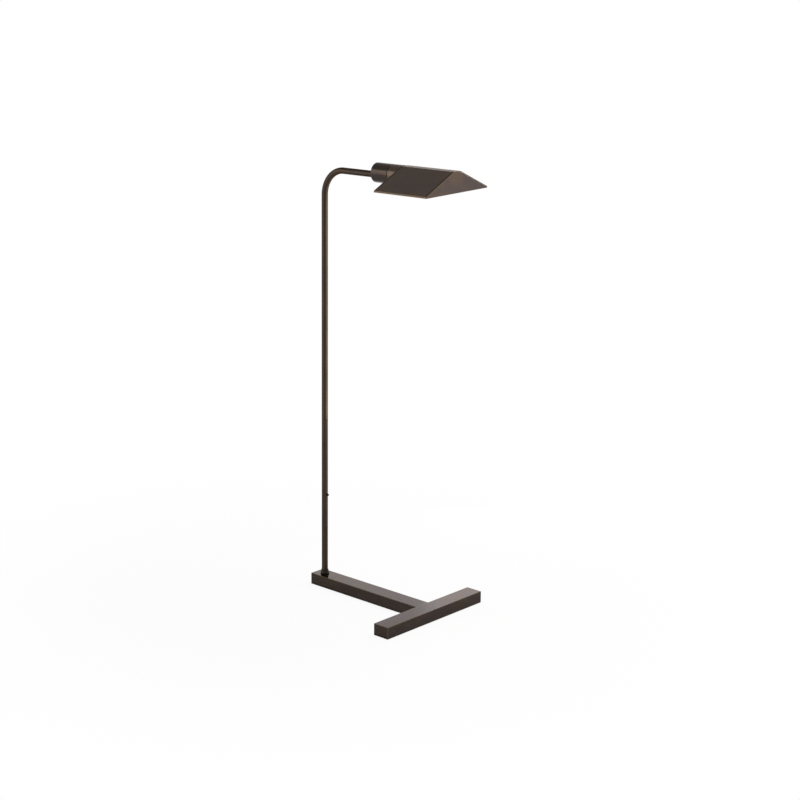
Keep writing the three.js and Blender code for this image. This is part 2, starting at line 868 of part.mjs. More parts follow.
// switch: its axis is a horizontal line through the pole
const switchAxis = new THREE.Group();
switchAxis.position.set(0, 0, switchHeight);
switchAxis.rotation.y = Math.PI / 2;
lamp.add(switchAxis);
add(switchAxis, 'switch_bezel', switchBezel(), bronzeDark);
add(switchAxis, 'switch_can', switchCan(), phenolic);
add(switchAxis, 'switch_button', switchButton(), bronzeDark);

// head: local Z runs along the head cylinder's axis, local X points down
const head = new THREE.Group();
head.position.set(0, 0, headHeight);
head.rotation.y = Math.PI / 2;
lamp.add(head);
add(head, 'head_cap', headCap(), bronze);
add(head, 'arm_nipple', armNipple(), steel, [capEntryDrop, 0, 0]);
add(head, 'arm_nut', armNut(), steel, [capEntryDrop, 0, 0]);
add(head, 'cap_bulkhead', capBulkhead(), steel);
add(head, 'head_nipple', headNipple(), steel);
[headNippleRear, frontNutRear].forEach((from, i) => add(head, `head_nut_${i + 1}`, headNut(from), steel));
add(head, 'spring_washer', springWasher(), steel);
add(head, 'seam_washer', seamWasher(), bronzeDark);
add(head, 'socket_housing', socketHousing(), bronze);
const shade = new THREE.Group();
shade.rotation.z = THREE.MathUtils.degToRad(shadeStance);
head.add(shade);
add(shade, 'shade_body', shadeBody(), bronze);
add(shade, 'rear_gable', gable(shadeRear + gableInset, holderRadius + seatGap), bronze);
add(shade, 'front_gable', gable(shadeFront - gableInset - shadeWall, 0), bronze);
add(head, 'lampholder', lampholder(), phenolic);
terminalPlaces().forEach(([x, y], i) => {
  add(head, `terminal_screw_${i + 1}`, terminalScrew(), brass, [x, y, holderRear]);
});
add(head, 'screw_shell', screwShell(), brass);
add(head, 'centre_contact', centreContact(), brass);
add(head, 'shade_ring', shadeRing(), phenolic);
add(head, 'bulb_cap', bulbCap(), brass);
add(head, 'bulb_insulator', bulbInsulator(), phenolic);
add(head, 'bulb_tip', bulbTip(), brass);
add(head, 'bulb_glass', bulbGlass(), frosted);

export default lamp;
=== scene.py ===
"""A pharmacy floor lamp's looks: dark bronze bars, a bent tube pole and a trough shade.

Sizes are in metres. The floor is Z = 0, the pole stands on Z, and the arm points along +X.
"""

import abc
import enum
import json
import logging
import math
from collections.abc import Callable, Sequence
from dataclasses import dataclass, field, replace

import bmesh
import bpy
from mathutils import Matrix, Vector


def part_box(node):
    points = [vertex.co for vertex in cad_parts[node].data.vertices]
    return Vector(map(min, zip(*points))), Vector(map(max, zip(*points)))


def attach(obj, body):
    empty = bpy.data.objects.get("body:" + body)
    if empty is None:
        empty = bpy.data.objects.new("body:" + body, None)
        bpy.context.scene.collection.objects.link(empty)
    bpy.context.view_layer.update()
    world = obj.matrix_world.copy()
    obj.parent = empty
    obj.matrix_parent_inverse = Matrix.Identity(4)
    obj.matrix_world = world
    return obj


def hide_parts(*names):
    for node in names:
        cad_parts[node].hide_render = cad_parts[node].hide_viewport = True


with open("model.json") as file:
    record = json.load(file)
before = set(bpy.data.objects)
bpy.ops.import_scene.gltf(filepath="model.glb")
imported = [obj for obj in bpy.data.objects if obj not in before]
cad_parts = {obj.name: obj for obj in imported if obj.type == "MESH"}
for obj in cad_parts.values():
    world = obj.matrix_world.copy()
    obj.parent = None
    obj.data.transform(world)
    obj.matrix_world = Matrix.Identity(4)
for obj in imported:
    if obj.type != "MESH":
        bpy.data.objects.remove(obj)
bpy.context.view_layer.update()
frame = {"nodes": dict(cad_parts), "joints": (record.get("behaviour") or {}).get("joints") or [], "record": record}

log = logging.getLogger("lamp")

Colour = tuple[float, float, float]
Point = tuple[float, float, float]
Obj = bpy.types.Object
Material = bpy.types.Material
Socket = bpy.types.NodeSocket
WEAR_AND_SHADING = "wear"  # 1 where an edge is rubbed through and where the pole's highlight is painted, below 0 where shade is painted
ALONG = "along"  # distance along a drawn tube
AROUND = "around"  # place on a drawn tube's section
GOLD = (0.42, 0.26, 0.12)  # bare metal under the patina
RUBBED_AND_HIGHLIGHT = (0.20, 0.14, 0.085)  # patina worn thin, and the colour of the pole's painted warm highlight
# painted shade: the near-black mixed in where the wear mark is below 0
PAINTED_SHADE = (0.012, 0.010, 0.009)
RUST = (0.16, 0.075, 0.035)
OVERSHOOT = 0.001  # how far a cutting tool passes through the face it opens


# ------------------------------------------------------------------ node trees
class Graph:
    """Adds and links the nodes of one tree."""

    def __init__(self, tree: bpy.types.NodeTree) -> None:
        """Starts with an empty tree."""
        self.tree = tree
        self.tree.nodes.clear()

    def add(self, kind: str, inputs: dict | None = None, **settings: object) -> bpy.types.Node:
        """Adds a node.

        Args:
            kind: The node's type name.
            inputs: Sockets to link, or values to set, by input name or index.
            **settings: The node's own properties.

        Returns:
            The new node.
        """
        node = self.tree.nodes.new(kind)
        for key, value in settings.items():
            setattr(node, key, value)
        for key, value in (inputs or {}).items():
            if isinstance(value, Socket):
                self.tree.links.new(value, node.inputs[key])
            else:
                node.inputs[key].default_value = value
        return node

    def get(self, kind: str, inputs: dict | None = None, **settings: object) -> Socket:
        """Adds a node and gives its first output."""
        return self.add(kind, inputs, **settings).outputs[0]


class ShaderGraph(Graph):
    """The shader nodes of a material or a world."""

    def __init__(self, owner: Material | bpy.types.World) -> None:
        """Empties the owner's tree."""
        owner.use_nodes = True
        super().__init__(owner.node_tree)

    def place(self, stretch: Point = (1, 1, 1), shift: Point = (0, 0, 0)) -> Socket:
        """The piece's own coordinates in metres, stretched and shifted."""
        own = self.add("ShaderNodeTexCoord").outputs["Object"]
        return self.get("ShaderNodeMapping", {"Vector": own, "Scale": stretch, "Location": shift})

    def drawn_place(self, stretch: float) -> Socket:
        """Coordinates that run along a drawn tube, so that a pattern follows its bend.

        Args:
            stretch: How much the distance along the tube is squeezed.

        Returns:
            The coordinates in metres.
        """
        around = self.add("ShaderNodeAttribute", attribute_name=AROUND).outputs["Vector"]
        along = self.math("MULTIPLY", self.attribute(ALONG), stretch)
        return self.vector("ADD", around, self.get("ShaderNodeCombineXYZ", {"Z": along}))

    def attribute(self, name: str) -> Socket:
        """A number that the mesh carries."""
        return self.add("ShaderNodeAttribute", attribute_name=name).outputs["Fac"]

    def noise(self, at: Socket, scale: float, detail: float, rough: float, twist: float = 0) -> Socket:
        """Cloudy noise from 0 to 1, with its size given by its scale per metre."""
        inputs = {"Vector": at, "Scale": scale, "Detail": detail, "Roughness": rough, "Distortion": twist}
        return self.add("ShaderNodeTexNoise", inputs).outputs["Fac"]

    def math(self, operation: str, a: Socket | float, b: Socket | float = 0.0) -> Socket:
        """One sum."""
        return self.get("ShaderNodeMath", {0: a, 1: b}, operation=operation)

    def remap(self, value: Socket, low: float, high: float, to: tuple[float, float] = (0, 1)) -> Socket:
        """Maps low to high onto a range, smoothly and clamped."""
        inputs = {"Value": value, "From Min": low, "From Max": high, "To Min": to[0], "To Max": to[1]}
        return self.add("ShaderNodeMapRange", inputs, interpolation_type="SMOOTHSTEP").outputs["Result"]

    def mix(self, share: Socket | float, a: Socket | Colour, b: Socket | Colour) -> Socket:
        """A colour between a and b."""
        a, b = ((*c, 1) if isinstance(c, tuple) else c for c in (a, b))
        return self.add("ShaderNodeMix", {0: share, 6: a, 7: b}, data_type="RGBA").outputs[2]

    def vector(self, operation: str, a: Socket, b: Socket | Point = (0, 0, 0)) -> Socket:
        """One sum of vectors."""
        return self.get("ShaderNodeVectorMath", {0: a, 1: b}, operation=operation)

    def bump(self, height: Socket, strength: float, distance: float) -> Socket:
        """A relief's normal."""
        inputs = {"Height": height, "Strength": strength, "Distance": distance}
        return self.get("ShaderNodeBump", inputs)

    def surface(self, inputs: dict) -> None:
        """Ends a material with the main shader."""
        self.add("ShaderNodeOutputMaterial", {"Surface": self.get("ShaderNodeBsdfPrincipled", inputs)})


class ShapeGraph(Graph):
    """A Geometry Nodes tree with named inputs for its sizes."""

    def __init__(self, name: str, **sizes: str) -> None:
        """Starts a tree.

        Args:
            name: The tree's name.
            **sizes: Each input's name and its kind, such as Float, Int, Vector or Object.
        """
        super().__init__(bpy.data.node_groups.new(name, "GeometryNodeTree"))
        face = self.tree.interface
        face.new_socket("Geometry", in_out="INPUT", socket_type="NodeSocketGeometry")
        for size, kind in sizes.items():
            face.new_socket(size, in_out="INPUT", socket_type=f"NodeSocket{kind}")
        face.new_socket("Material", in_out="INPUT", socket_type="NodeSocketMaterial")
        face.new_socket("Geometry", in_out="OUTPUT", socket_type="NodeSocketGeometry")
        self.given = self.tree.nodes.new("NodeGroupInput").outputs

    def ring(self, radius: Socket, sides: Socket | int) -> Socket:
        """A circle to sweep."""
        return self.get("GeometryNodeCurvePrimitiveCircle", {"Resolution": sides, "Radius": radius})

    def swept(self, line: Socket, ring: Socket) -> Socket:
        """A closed bar along a line."""
        inputs = {"Curve": line, "Profile Curve": ring, "Fill Caps": True}
        return self.get("GeometryNodeCurveToMesh", inputs)

    def laid(self, shape: Socket) -> Socket:
        """Turns an upright shape to lie along the arm, at the tree's Centre."""
        inputs = {0: shape, "Translation": self.given["Centre"], "Rotation": (0, math.pi / 2, 0)}
        return self.get("GeometryNodeTransform", inputs)

    def end(self, *shapes: Socket) -> None:
        """Joins the shapes, makes them real and gives them the material.

        Args:
            *shapes: What the tree has made.
        """
        joined = self.add("GeometryNodeJoinGeometry")
        for shape in shapes:
            self.tree.links.new(shape, joined.inputs[0])
        real = self.get("GeometryNodeRealizeInstances", {0: joined.outputs[0]})
        dressed = self.get("GeometryNodeSetMaterial", {0: real, "Material": self.given["Material"]})
        self.add("NodeGroupOutput", {0: dressed})

    def run(self, piece: Obj, material: Material, **sizes: object) -> Obj:
        """Runs the tree on a piece and keeps the result as its plain mesh.

        Args:
            piece: The piece, whose mesh is the tree's input.
            material: The finish for the whole result.
            **sizes: A value for each of the tree's named inputs.

        Returns:
            The same piece.
        """
        modifier = piece.modifiers.new("shape", "NODES")
        modifier.node_group = self.tree
        for item in self.tree.interface.items_tree:
            if item.in_out == "INPUT" and item.name != "Geometry":
                modifier[item.identifier] = material if item.name == "Material" else sizes[item.name]
        return settle(piece)


# ------------------------------------------------------------------ mesh making
@dataclass(frozen=True)
class Corner:
    """A corner of a section, with how far it is rounded, how worn it is and how dark its painted shade is."""

    u: float
    v: float
    rounding: float = 0.0
    wear: float = 0.0


class Axis(enum.Enum):
    """The axis that a piece is turned about."""

    ARM = enum.auto()
    POLE = enum.auto()

    def point(self, centre: Vector, along: float, out: Vector) -> Vector:
        """A point beside the axis.

        Args:
            centre: A point on the axis.
            along: The new point's place along it.
            out: Its offset from it.

        Returns:
            The point.
        """
        if self is Axis.ARM:
            return Vector((along, centre.y + out.x, centre.z + out.y))
        return Vector((centre.x + out.x, centre.y + out.y, along))


def rounded(corners: Sequence[Corner], closed: bool, steps: int = 4, fade: float = 0.0012) -> list[Corner]:
    """Rounds a section's corners and keeps their wear and painted shade close to them.

    Args:
        corners: The section's corners in order.
        closed: Whether the last corner joins the first.
        steps: Facets in each rounded corner.
        fade: How far the wear and painted shade spread past a corner.

    Returns:
        The points of the finished section.
    """
    found = []
    for i, corner in enumerate(corners):
        here = Vector((corner.u, corner.v))
        plain = not corner.rounding and not corner.wear
        if plain or (not closed and i in (0, len(corners) - 1)):
            found.append(corner)
            continue
        around = (corners[i - 1], corners[(i + 1) % len(corners)])
        back, ahead = (Vector((c.u, c.v)) - here for c in around)
        half = (math.pi - back.angle(ahead)) / 2
        reach = min(corner.rounding * math.tan(half), 0.4 * back.length, 0.4 * ahead.length)
        arc = [here]
        if reach > 0:
            centre = here + (back.normalized() + ahead.normalized()).normalized() * reach / math.sin(half)
            first, last = (here + side.normalized() * reach - centre for side in (back, ahead))
            turn = first.angle_signed(last)
            arc = [centre + Matrix.Rotation(-turn * k / steps, 2) @ first for k in range(steps + 1)]
        if corner.wear and back.length > 3 * (reach + fade):
            found.append(Corner(*(here + back.normalized() * (reach + fade))))
        found += [Corner(*point, wear=corner.wear) for point in arc]
        if corner.wear and ahead.length > 3 * (reach + fade):
            found.append(Corner(*(here + ahead.normalized() * (reach + fade))))
    return found


def shown(name: str, data: bpy.types.ID) -> Obj:
    """Puts a mesh, a light or a camera in the scene.

    Args:
        name: The object's name.
        data: What it shows.

    Returns:
        The object.
    """
    thing = bpy.data.objects.new(name, data)
    bpy.context.scene.collection.objects.link(thing)
    return thing


def traced(name: str, points: Sequence[Sequence[float]], joined: bool) -> Obj:
    """Makes a piece of bare points for a tree to work on.

    Args:
        name: The piece's name.
        points: The points in order.
        joined: Whether they make a line.

    Returns:
        The piece.
    """
    mesh = bpy.data.meshes.new(name)
    mesh.from_pydata(points, [(i, i + 1) for i in range(len(points) - 1)] if joined else [], [])
    return shown(name, mesh)


def sheet_of(name: str, bm: bmesh.types.BMesh) -> Obj:
    """Makes a piece of a bmesh as it stands.

    Args:
        name: The piece's name.
        bm: Its faces. It is freed.

    Returns:
        The piece.
    """
    mesh = bpy.data.meshes.new(name)
    bm.to_mesh(mesh)
    bm.free()
    return shown(name, mesh)


def solid_of(name: str, bm: bmesh.types.BMesh) -> Obj:
    """Makes a piece of a closed bmesh.

    Args:
        name: The piece's name.
        bm: Its faces. It is freed.

    Returns:
        The piece, with its doubles merged and its faces outwards.
    """
    bmesh.ops.remove_doubles(bm, verts=bm.verts, dist=1e-7)
    bmesh.ops.recalc_face_normals(bm, faces=bm.faces)
    return sheet_of(name, bm)


def settle(piece: Obj) -> Obj:
    """Turns a piece with its modifiers into a plain mesh.

    Args:
        piece: The piece.

    Returns:
        The same piece.
    """
    graph = bpy.context.evaluated_depsgraph_get()
    mesh = bpy.data.meshes.new_from_object(
        piece.evaluated_get(graph), preserve_all_data_layers=True, depsgraph=graph
    )
    piece.modifiers.clear()
    mesh.name = piece.name
    piece.data = mesh
    return piece


def polish(piece: Obj, arris: float = 0.0, sharp: float = 40) -> Obj:
    """Rounds the marked or sharp edges of a piece and shades it smoothly.

    Args:
        piece: The piece.
        arris: Radius for the edges that carry a bevel weight, or 0 to round none.
        sharp: Edges that turn by more degrees than this stay sharp.

    Returns:
        The same piece.
    """
    if arris:
        bevel = piece.modifiers.new("arris", "BEVEL")
        bevel.width, bevel.segments, bevel.limit_method = arris, 3, "WEIGHT"
        settle(piece)
    piece.data.polygons.foreach_set("use_smooth", [True] * len(piece.data.polygons))
    piece.data.set_sharp_from_angle(angle=math.radians(sharp))
    weighted = piece.modifiers.new("normals", "WEIGHTED_NORMAL")
    weighted.keep_sharp, weighted.weight = True, 80
    return settle(piece)


def combine(piece: Obj, operation: str, *tools: Obj) -> Obj:
    """Joins tools to a piece or cuts them out of it, and removes them.

    Args:
        piece: The piece.
        operation: UNION or DIFFERENCE.
        *tools: The shapes to join or cut.

    Returns:
        The same piece.
    """
    for tool in tools:
        step = piece.modifiers.new("combine", "BOOLEAN")
        step.operation, step.object, step.solver = operation, tool, "EXACT"
    settle(piece)
    for tool in tools:
        bpy.data.objects.remove(tool)
    return piece


def turned(
    name: str, section: Sequence[Corner], axis: Axis, centre: Vector,
    sides: int = 72, closed: bool = False, steps: int = 4, fade: float = 0.0012,
) -> Obj:
    """Rounds a section's corners and turns it about an axis.

    Args:
        name: The piece's name.
        section: Corners with u along the axis and v from it.
        axis: The axis.
        centre: A point on it.
        sides: Facets round it.
        closed: Whether the section closes on itself, as a ring's does.
        steps: Facets in each rounded corner.
        fade: How far the wear and painted shade spread past a corner.

    Returns:
        The piece.
    """
    bm = bmesh.new()
    wear = bm.verts.layers.float.new(WEAR_AND_SHADING)
    rings = []
    for spot in rounded(section, closed, steps, fade):
        ring = []
        for k in range(sides):
            angle = math.tau * (k + 0.5) / sides
            out = Vector((math.cos(angle), math.sin(angle))) * max(spot.v, 0)
            vertex = bm.verts.new(axis.point(centre, spot.u, out))
            vertex[wear] = spot.wear
            ring.append(vertex)
        rings.append(ring)
    for i in range(len(rings) if closed else len(rings) - 1):
        here, there = rings[i], rings[(i + 1) % len(rings)]
        for k in range(sides):
            bm.faces.new((here[k - 1], here[k], there[k], there[k - 1]))
    bmesh.ops.dissolve_degenerate(bm, edges=bm.edges, dist=1e-7)
    return solid_of(name, bm)


def rod(radius: float, start: float, end: float, axis: Axis, centre: Vector) -> Obj:
    """A plain rod to cut or join with."""
    section = [Corner(start, 0), Corner(start, radius), Corner(end, radius), Corner(end, 0)]
    return turned("tool", section, axis, centre, sides=48)


def boxed(low: Vector, high: Vector) -> bmesh.types.BMesh:
    """A plain block.

    Args:
        low: Its lowest corner.
        high: Its highest corner.

    Returns:
        The block's bmesh.
    """
    bm = bmesh.new()
    bmesh.ops.create_cube(bm, size=1)
    bm.transform(Matrix.Translation((low + high) / 2) @ Matrix.Diagonal((*(high - low), 1)))
    return bm


def block(low: Sequence[float], high: Sequence[float]) -> Obj:
    """A plain block to cut or join with."""
    return solid_of("tool", boxed(Vector(low), Vector(high)))


def round_edges(piece: Obj, width: float) -> Obj:
    """Rounds a piece's square edges, narrowly, and smooths it.

    Args:
        piece: The piece.
        width: How wide the rounding is.

    Returns:
        The same piece.
    """
    edges = piece.modifiers.new("edges", "BEVEL")
    edges.width, edges.segments, edges.limit_method = width, 2, "ANGLE"
    edges.angle_limit = math.radians(60)
    return polish(settle(piece))


# ------------------------------------------------------------------ finishes
class Grain(enum.Enum):
    """Which way a patina's streaks run."""

    CLOUDED = enum.auto()
    ALONG_STEM = enum.auto()
    ALONG_CROSS = enum.auto()
    DRAWN = enum.auto()


@dataclass(frozen=True)
class Finish(abc.ABC):
    """A procedural material."""

    name: str

    @abc.abstractmethod
    def paint(self, graph: ShaderGraph) -> dict:
        """Draws the pattern, and gives the main shader's inputs."""

    def material(self) -> Material:
        """Builds the finish.

        Returns:
            The material.
        """
        made = bpy.data.materials.new(self.name)
        graph = ShaderGraph(made)
        graph.surface(self.paint(graph))
        return made


@dataclass(frozen=True)
class Patina(Finish):
    """Dark oxide on metal: mottled in several sizes, with edges rubbed through to gold and painted shade."""

    deep: Colour
    warm: Colour
    grey: Colour
    roughness: float
    grain: Grain = Grain.CLOUDED
    sheen: Colour = (1.0, 0.97, 0.98)  # tint of reflections at a grazing angle
    cloud: float = 14.0  # large patches per metre
    relief: float = 0.25
    shift: Point = (0.0, 0.0, 0.0)  # where the pattern lies on the piece
    rust: float = 0.0  # how many brown specks

    def streaked(self, graph: ShaderGraph) -> Socket:
        """Coordinates squeezed so that marks run with the grain.

        Args:
            graph: The finish's nodes.

        Returns:
            The coordinates in metres.
        """
        if self.grain is Grain.DRAWN:
            return graph.drawn_place(0.06)
        stretch = {Grain.ALONG_STEM: (0.08, 1, 1), Grain.ALONG_CROSS: (1, 0.08, 1)}
        return graph.place(stretch.get(self.grain, (1, 1, 1)), self.shift)

    def paint(self, graph: ShaderGraph) -> dict:
        """Draws the pattern.

        Args:
            graph: The finish's nodes.

        Returns:
            The main shader's inputs.
        """
        red, green, blue = self.sheen
        plain, streaky = graph.place(shift=self.shift), self.streaked(graph)
        browner = graph.remap(graph.noise(plain, self.cloud, 3, 0.5, 0.4), 0.38, 0.66)
        mottle = graph.noise(plain, 85, 6, 0.62, 0.3)
        streaks = graph.noise(streaky, 420, 5, 0.6)
        speckle = graph.noise(plain, 1500, 3, 0.6)
        colour = graph.mix(browner, self.deep, self.warm)
        colour = graph.mix(graph.remap(mottle, 0.42, 0.72, (0, 0.75)), colour, self.grey)
        grained = graph.remap(streaks, 0.3, 0.7, (-0.1, 0.1))
        tone = graph.math("ADD", grained, graph.remap(speckle, 0.3, 0.7, (0.96, 1.04)))
        colour = graph.get("ShaderNodeVectorMath", {0: colour, "Scale": tone}, operation="SCALE")
        if self.rust:
            spots = graph.noise(plain, 160, 5, 0.7, 0.6)
            colour = graph.mix(graph.remap(spots, 0.78 - 0.2 * self.rust, 0.8, (0, 0.8)), colour, RUST)
        wear = graph.attribute(WEAR_AND_SHADING)
        chips = graph.noise(streaky if self.grain is Grain.DRAWN else plain, 240, 5, 0.7)
        ragged = graph.math("MULTIPLY", wear, graph.remap(chips, 0.35, 0.65, (0.45, 1.0)))
        # rubbed edges, and on the pole's inner side a painted warm highlight
        rubbed_and_highlight = graph.remap(ragged, 0.0, 1.0)
        colour = graph.mix(rubbed_and_highlight, colour, RUBBED_AND_HIGHLIGHT)
        colour = graph.mix(graph.remap(ragged, 1.1, 1.8), colour, GOLD)
        # painted shade where the mark is below 0: creases, undersides and lines beside the shade's ends
        painted_shade_share = graph.remap(graph.math("MULTIPLY", wear, -1), 0.0, 1.0, (0, 0.85))
        rough = graph.math("ADD", graph.remap(mottle, 0.3, 0.75, (-0.05, 0.07)), self.roughness)
        rough = graph.math("ADD", rough, graph.remap(streaks, 0.3, 0.7, (-0.03, 0.03)))
        height = graph.math("MULTIPLY", mottle, 0.7)
        height = graph.math("ADD", height, graph.math("MULTIPLY", speckle, 0.3))
        height = graph.math("ADD", height, graph.math("MULTIPLY", streaks, 0.4))
        return {
            "Base Color": graph.mix(painted_shade_share, colour, PAINTED_SHADE),
            "Metallic": 1.0,
            "Specular Tint": graph.mix(browner, self.sheen, (red, 0.97 * green, 0.95 * blue)),
            "Roughness": graph.math("SUBTRACT", rough, graph.math("MULTIPLY", rubbed_and_highlight, 0.06)),
            "Normal": graph.bump(height, self.relief, 0.0002),
        }


@dataclass(frozen=True)
class BareMetal(Finish):
    """Plated or plain metal with fine tool marks and a little tarnish."""

    bright: Colour
    tarnish: Colour
    roughness: float

    def paint(self, graph: ShaderGraph) -> dict:
        """Draws the pattern.

        Args:
            graph: The finish's nodes.

        Returns:
            The main shader's inputs.
        """
        plain = graph.place()
        stains = graph.noise(plain, 120, 5, 0.6, 0.3)
        marks = graph.noise(graph.place((1, 1, 6)), 900, 3, 0.6)
        return {
            "Base Color": graph.mix(graph.remap(stains, 0.45, 0.75), self.bright, self.tarnish),
            "Metallic": 1.0,
            "Roughness": graph.math("ADD", graph.remap(marks, 0.3, 0.7, (-0.06, 0.08)), self.roughness),
            "Normal": graph.bump(marks, 0.2, 0.0001),
        }


@dataclass(frozen=True)
class Moulded(Finish):
    """Rubber, phenolic resin or sleeve: a slightly uneven colour with a moulded skin."""

    colour: Colour
    dusty: Colour
    roughness: float
    skin: float  # texture per metre

    def paint(self, graph: ShaderGraph) -> dict:
        """Draws the pattern.

        Args:
            graph: The finish's nodes.

        Returns:
            The main shader's inputs.
        """
        plain = graph.place()
        dust = graph.noise(plain, 150, 4, 0.6)
        skin = graph.noise(plain, self.skin, 3, 0.6)
        return {
            "Base Color": graph.mix(graph.remap(dust, 0.45, 0.8), self.colour, self.dusty),
            "Roughness": graph.math("ADD", graph.remap(skin, 0.3, 0.7, (-0.05, 0.08)), self.roughness),
            "Normal": graph.bump(skin, 0.3, 0.00015),
        }


@dataclass(frozen=True)
class Frosted(Finish):
    """Etched glass that glows softly with the light around it."""

    milk: Colour
    thin: Colour

    def paint(self, graph: ShaderGraph) -> dict:
        """Draws the pattern.

        Args:
            graph: The finish's nodes.

        Returns:
            The main shader's inputs.
        """
        plain = graph.place()
        etch = graph.noise(plain, 2200, 2, 0.5)
        cloud = graph.noise(plain, 60, 3, 0.5)
        return {
            "Base Color": graph.mix(graph.remap(cloud, 0.4, 0.7), self.milk, self.thin),
            "Roughness": graph.remap(etch, 0.3, 0.7, (0.38, 0.55)),
            "Transmission Weight": 0.3,
            "Normal": graph.bump(etch, 0.15, 0.00008),
        }


BAR_BRONZE = Patina(
    "bar_bronze", (0.058, 0.044, 0.038), (0.066, 0.047, 0.036), (0.060, 0.052, 0.050), 0.20,
    Grain.ALONG_STEM, shift=(-0.90, 0.76, -0.55), rust=0.35, relief=0.09,
)
FINISHES = {finish.name: finish for finish in (
    BAR_BRONZE,
    replace(BAR_BRONZE, name="cross_bronze", grain=Grain.ALONG_CROSS, shift=(0.48, 0.62, -0.35), rust=0.5),
    Patina(
        "tube_bronze", (0.060, 0.045, 0.037), (0.078, 0.055, 0.040), (0.066, 0.056, 0.052), 0.33,
        Grain.DRAWN, sheen=(0.66, 0.58, 0.53), cloud=9, relief=0.12,
    ),
    Patina(
        "head_bronze", (0.080, 0.060, 0.054), (0.098, 0.072, 0.056), (0.088, 0.074, 0.070), 0.22,
        cloud=22, relief=0.05,
    ),
    Patina(
        "housing_bronze", (0.135, 0.102, 0.078), (0.155, 0.114, 0.080), (0.120, 0.096, 0.082), 0.26,
        cloud=30, relief=0.05,
    ),
    Patina(
        "shade_bronze", (0.124, 0.090, 0.075), (0.150, 0.104, 0.078), (0.120, 0.097, 0.090), 0.35,
        sheen=(0.96, 0.92, 0.90), cloud=11, shift=(-0.44, 0.74, 0.94),
    ),
    Patina(
        "gable_bronze", (0.108, 0.083, 0.075), (0.136, 0.099, 0.075), (0.102, 0.086, 0.086), 0.35,
        cloud=22, shift=(0.0, -0.61, 0.91),
    ),
    Patina(
        "collar_bronze", (0.044, 0.036, 0.031), (0.054, 0.040, 0.031), (0.048, 0.041, 0.037), 0.52, cloud=60,
    ),
    Patina(
        "dark_hardware", (0.026, 0.021, 0.018), (0.036, 0.027, 0.021), (0.031, 0.027, 0.025), 0.42, cloud=60,
    ),
    BareMetal("steel", (0.52, 0.51, 0.49), (0.30, 0.29, 0.28), 0.34),
    BareMetal("plain_brass", (0.62, 0.44, 0.20), (0.33, 0.22, 0.10), 0.30),
    Moulded("black_rubber", (0.016, 0.015, 0.015), (0.035, 0.033, 0.031), 0.78, 1800),
    Moulded("black_phenolic", (0.020, 0.016, 0.014), (0.032, 0.027, 0.024), 0.38, 2600),
    Moulded("flex_sheath", (0.024, 0.022, 0.021), (0.040, 0.037, 0.034), 0.62, 1500),
    Moulded("white_enamel", (0.78, 0.77, 0.73), (0.72, 0.70, 0.65), 0.42, 900),
    Frosted("frosted_glass", (0.86, 0.85, 0.81), (0.80, 0.79, 0.76)),
)}


# ------------------------------------------------------------------ fitting
@dataclass
class Fitter:
    """Holds the finishes, and puts finished pieces on their bodies."""

    materials: dict[str, Material] = field(default_factory=dict)

    def finish(self, name: str) -> Material:
        """The material of a finish, built once.

        Args:
            name: The finish's name.

        Returns:
            The material.
        """
        if name not in self.materials:
            self.materials[name] = FINISHES[name].material()
        return self.materials[name]

    def dress(self, piece: Obj, *finishes: str) -> Obj:
        """Gives a piece its materials.

        Args:
            piece: The piece.
            *finishes: The names of its finishes, in the order of its faces' numbers.

        Returns:
            The same piece.
        """
        piece.data.materials.clear()
        for name in finishes:
            piece.data.materials.append(self.finish(name))
        return piece

    def fit(self, piece: Obj, body: str, slot: str, *nodes: str, finish: str = "") -> None:
        """Dresses a piece and puts it on its body in place of the nodes that it stands for.

        Args:
            piece: The finished piece, which keeps any material that it has.
            body: The body that it moves with.
            slot: The record's material slot of its finish.
            *nodes: The nodes that it stands for.
            finish: The name of its finish, where that isn't the slot's.
        """
        if not any(piece.data.materials):
            self.dress(piece, finish or slot)
        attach(piece, body)
        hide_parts(*nodes)
        log.info("%s: on %s, %d faces", piece.name, body, len(piece.data.polygons))

    def dress_nodes(self, slot_of: dict[str, str]) -> None:
        """Gives the nodes that stay their finishes.

        Args:
            slot_of: Each node's material slot.
        """
        for name, node in frame["nodes"].items():
            if not node.hide_render:
                self.dress(node, slot_of[name])
                log.info("%s: kept, in %s", name, slot_of[name])


@dataclass
class SubAssembly(abc.ABC):
    """A group of pieces that is made and fitted together."""

    fitter: Fitter

    @abc.abstractmethod
    def build(self) -> None:
        """Makes and fits the pieces."""


def repeated(name: str, part: Obj, places: Sequence[Vector], material: Material) -> Obj:
    """One piece of several copies of a part.

    Args:
        name: The piece's name.
        part: The part, made at the origin. It is removed.
        places: Where the copies stand.
        material: Their finish.

    Returns:
        The piece.
    """
    graph = ShapeGraph("repeat_part", Part="Object")
    copy = graph.add("GeometryNodeObjectInfo", {"Object": graph.given["Part"], "As Instance": True})
    inputs = {"Points": graph.given["Geometry"], "Instance": copy.outputs["Geometry"]}
    graph.end(graph.get("GeometryNodeInstanceOnPoints", inputs))
    piece = graph.run(traced(name, places, joined=False), material, Part=part)
    bpy.data.objects.remove(part)
    return polish(piece)


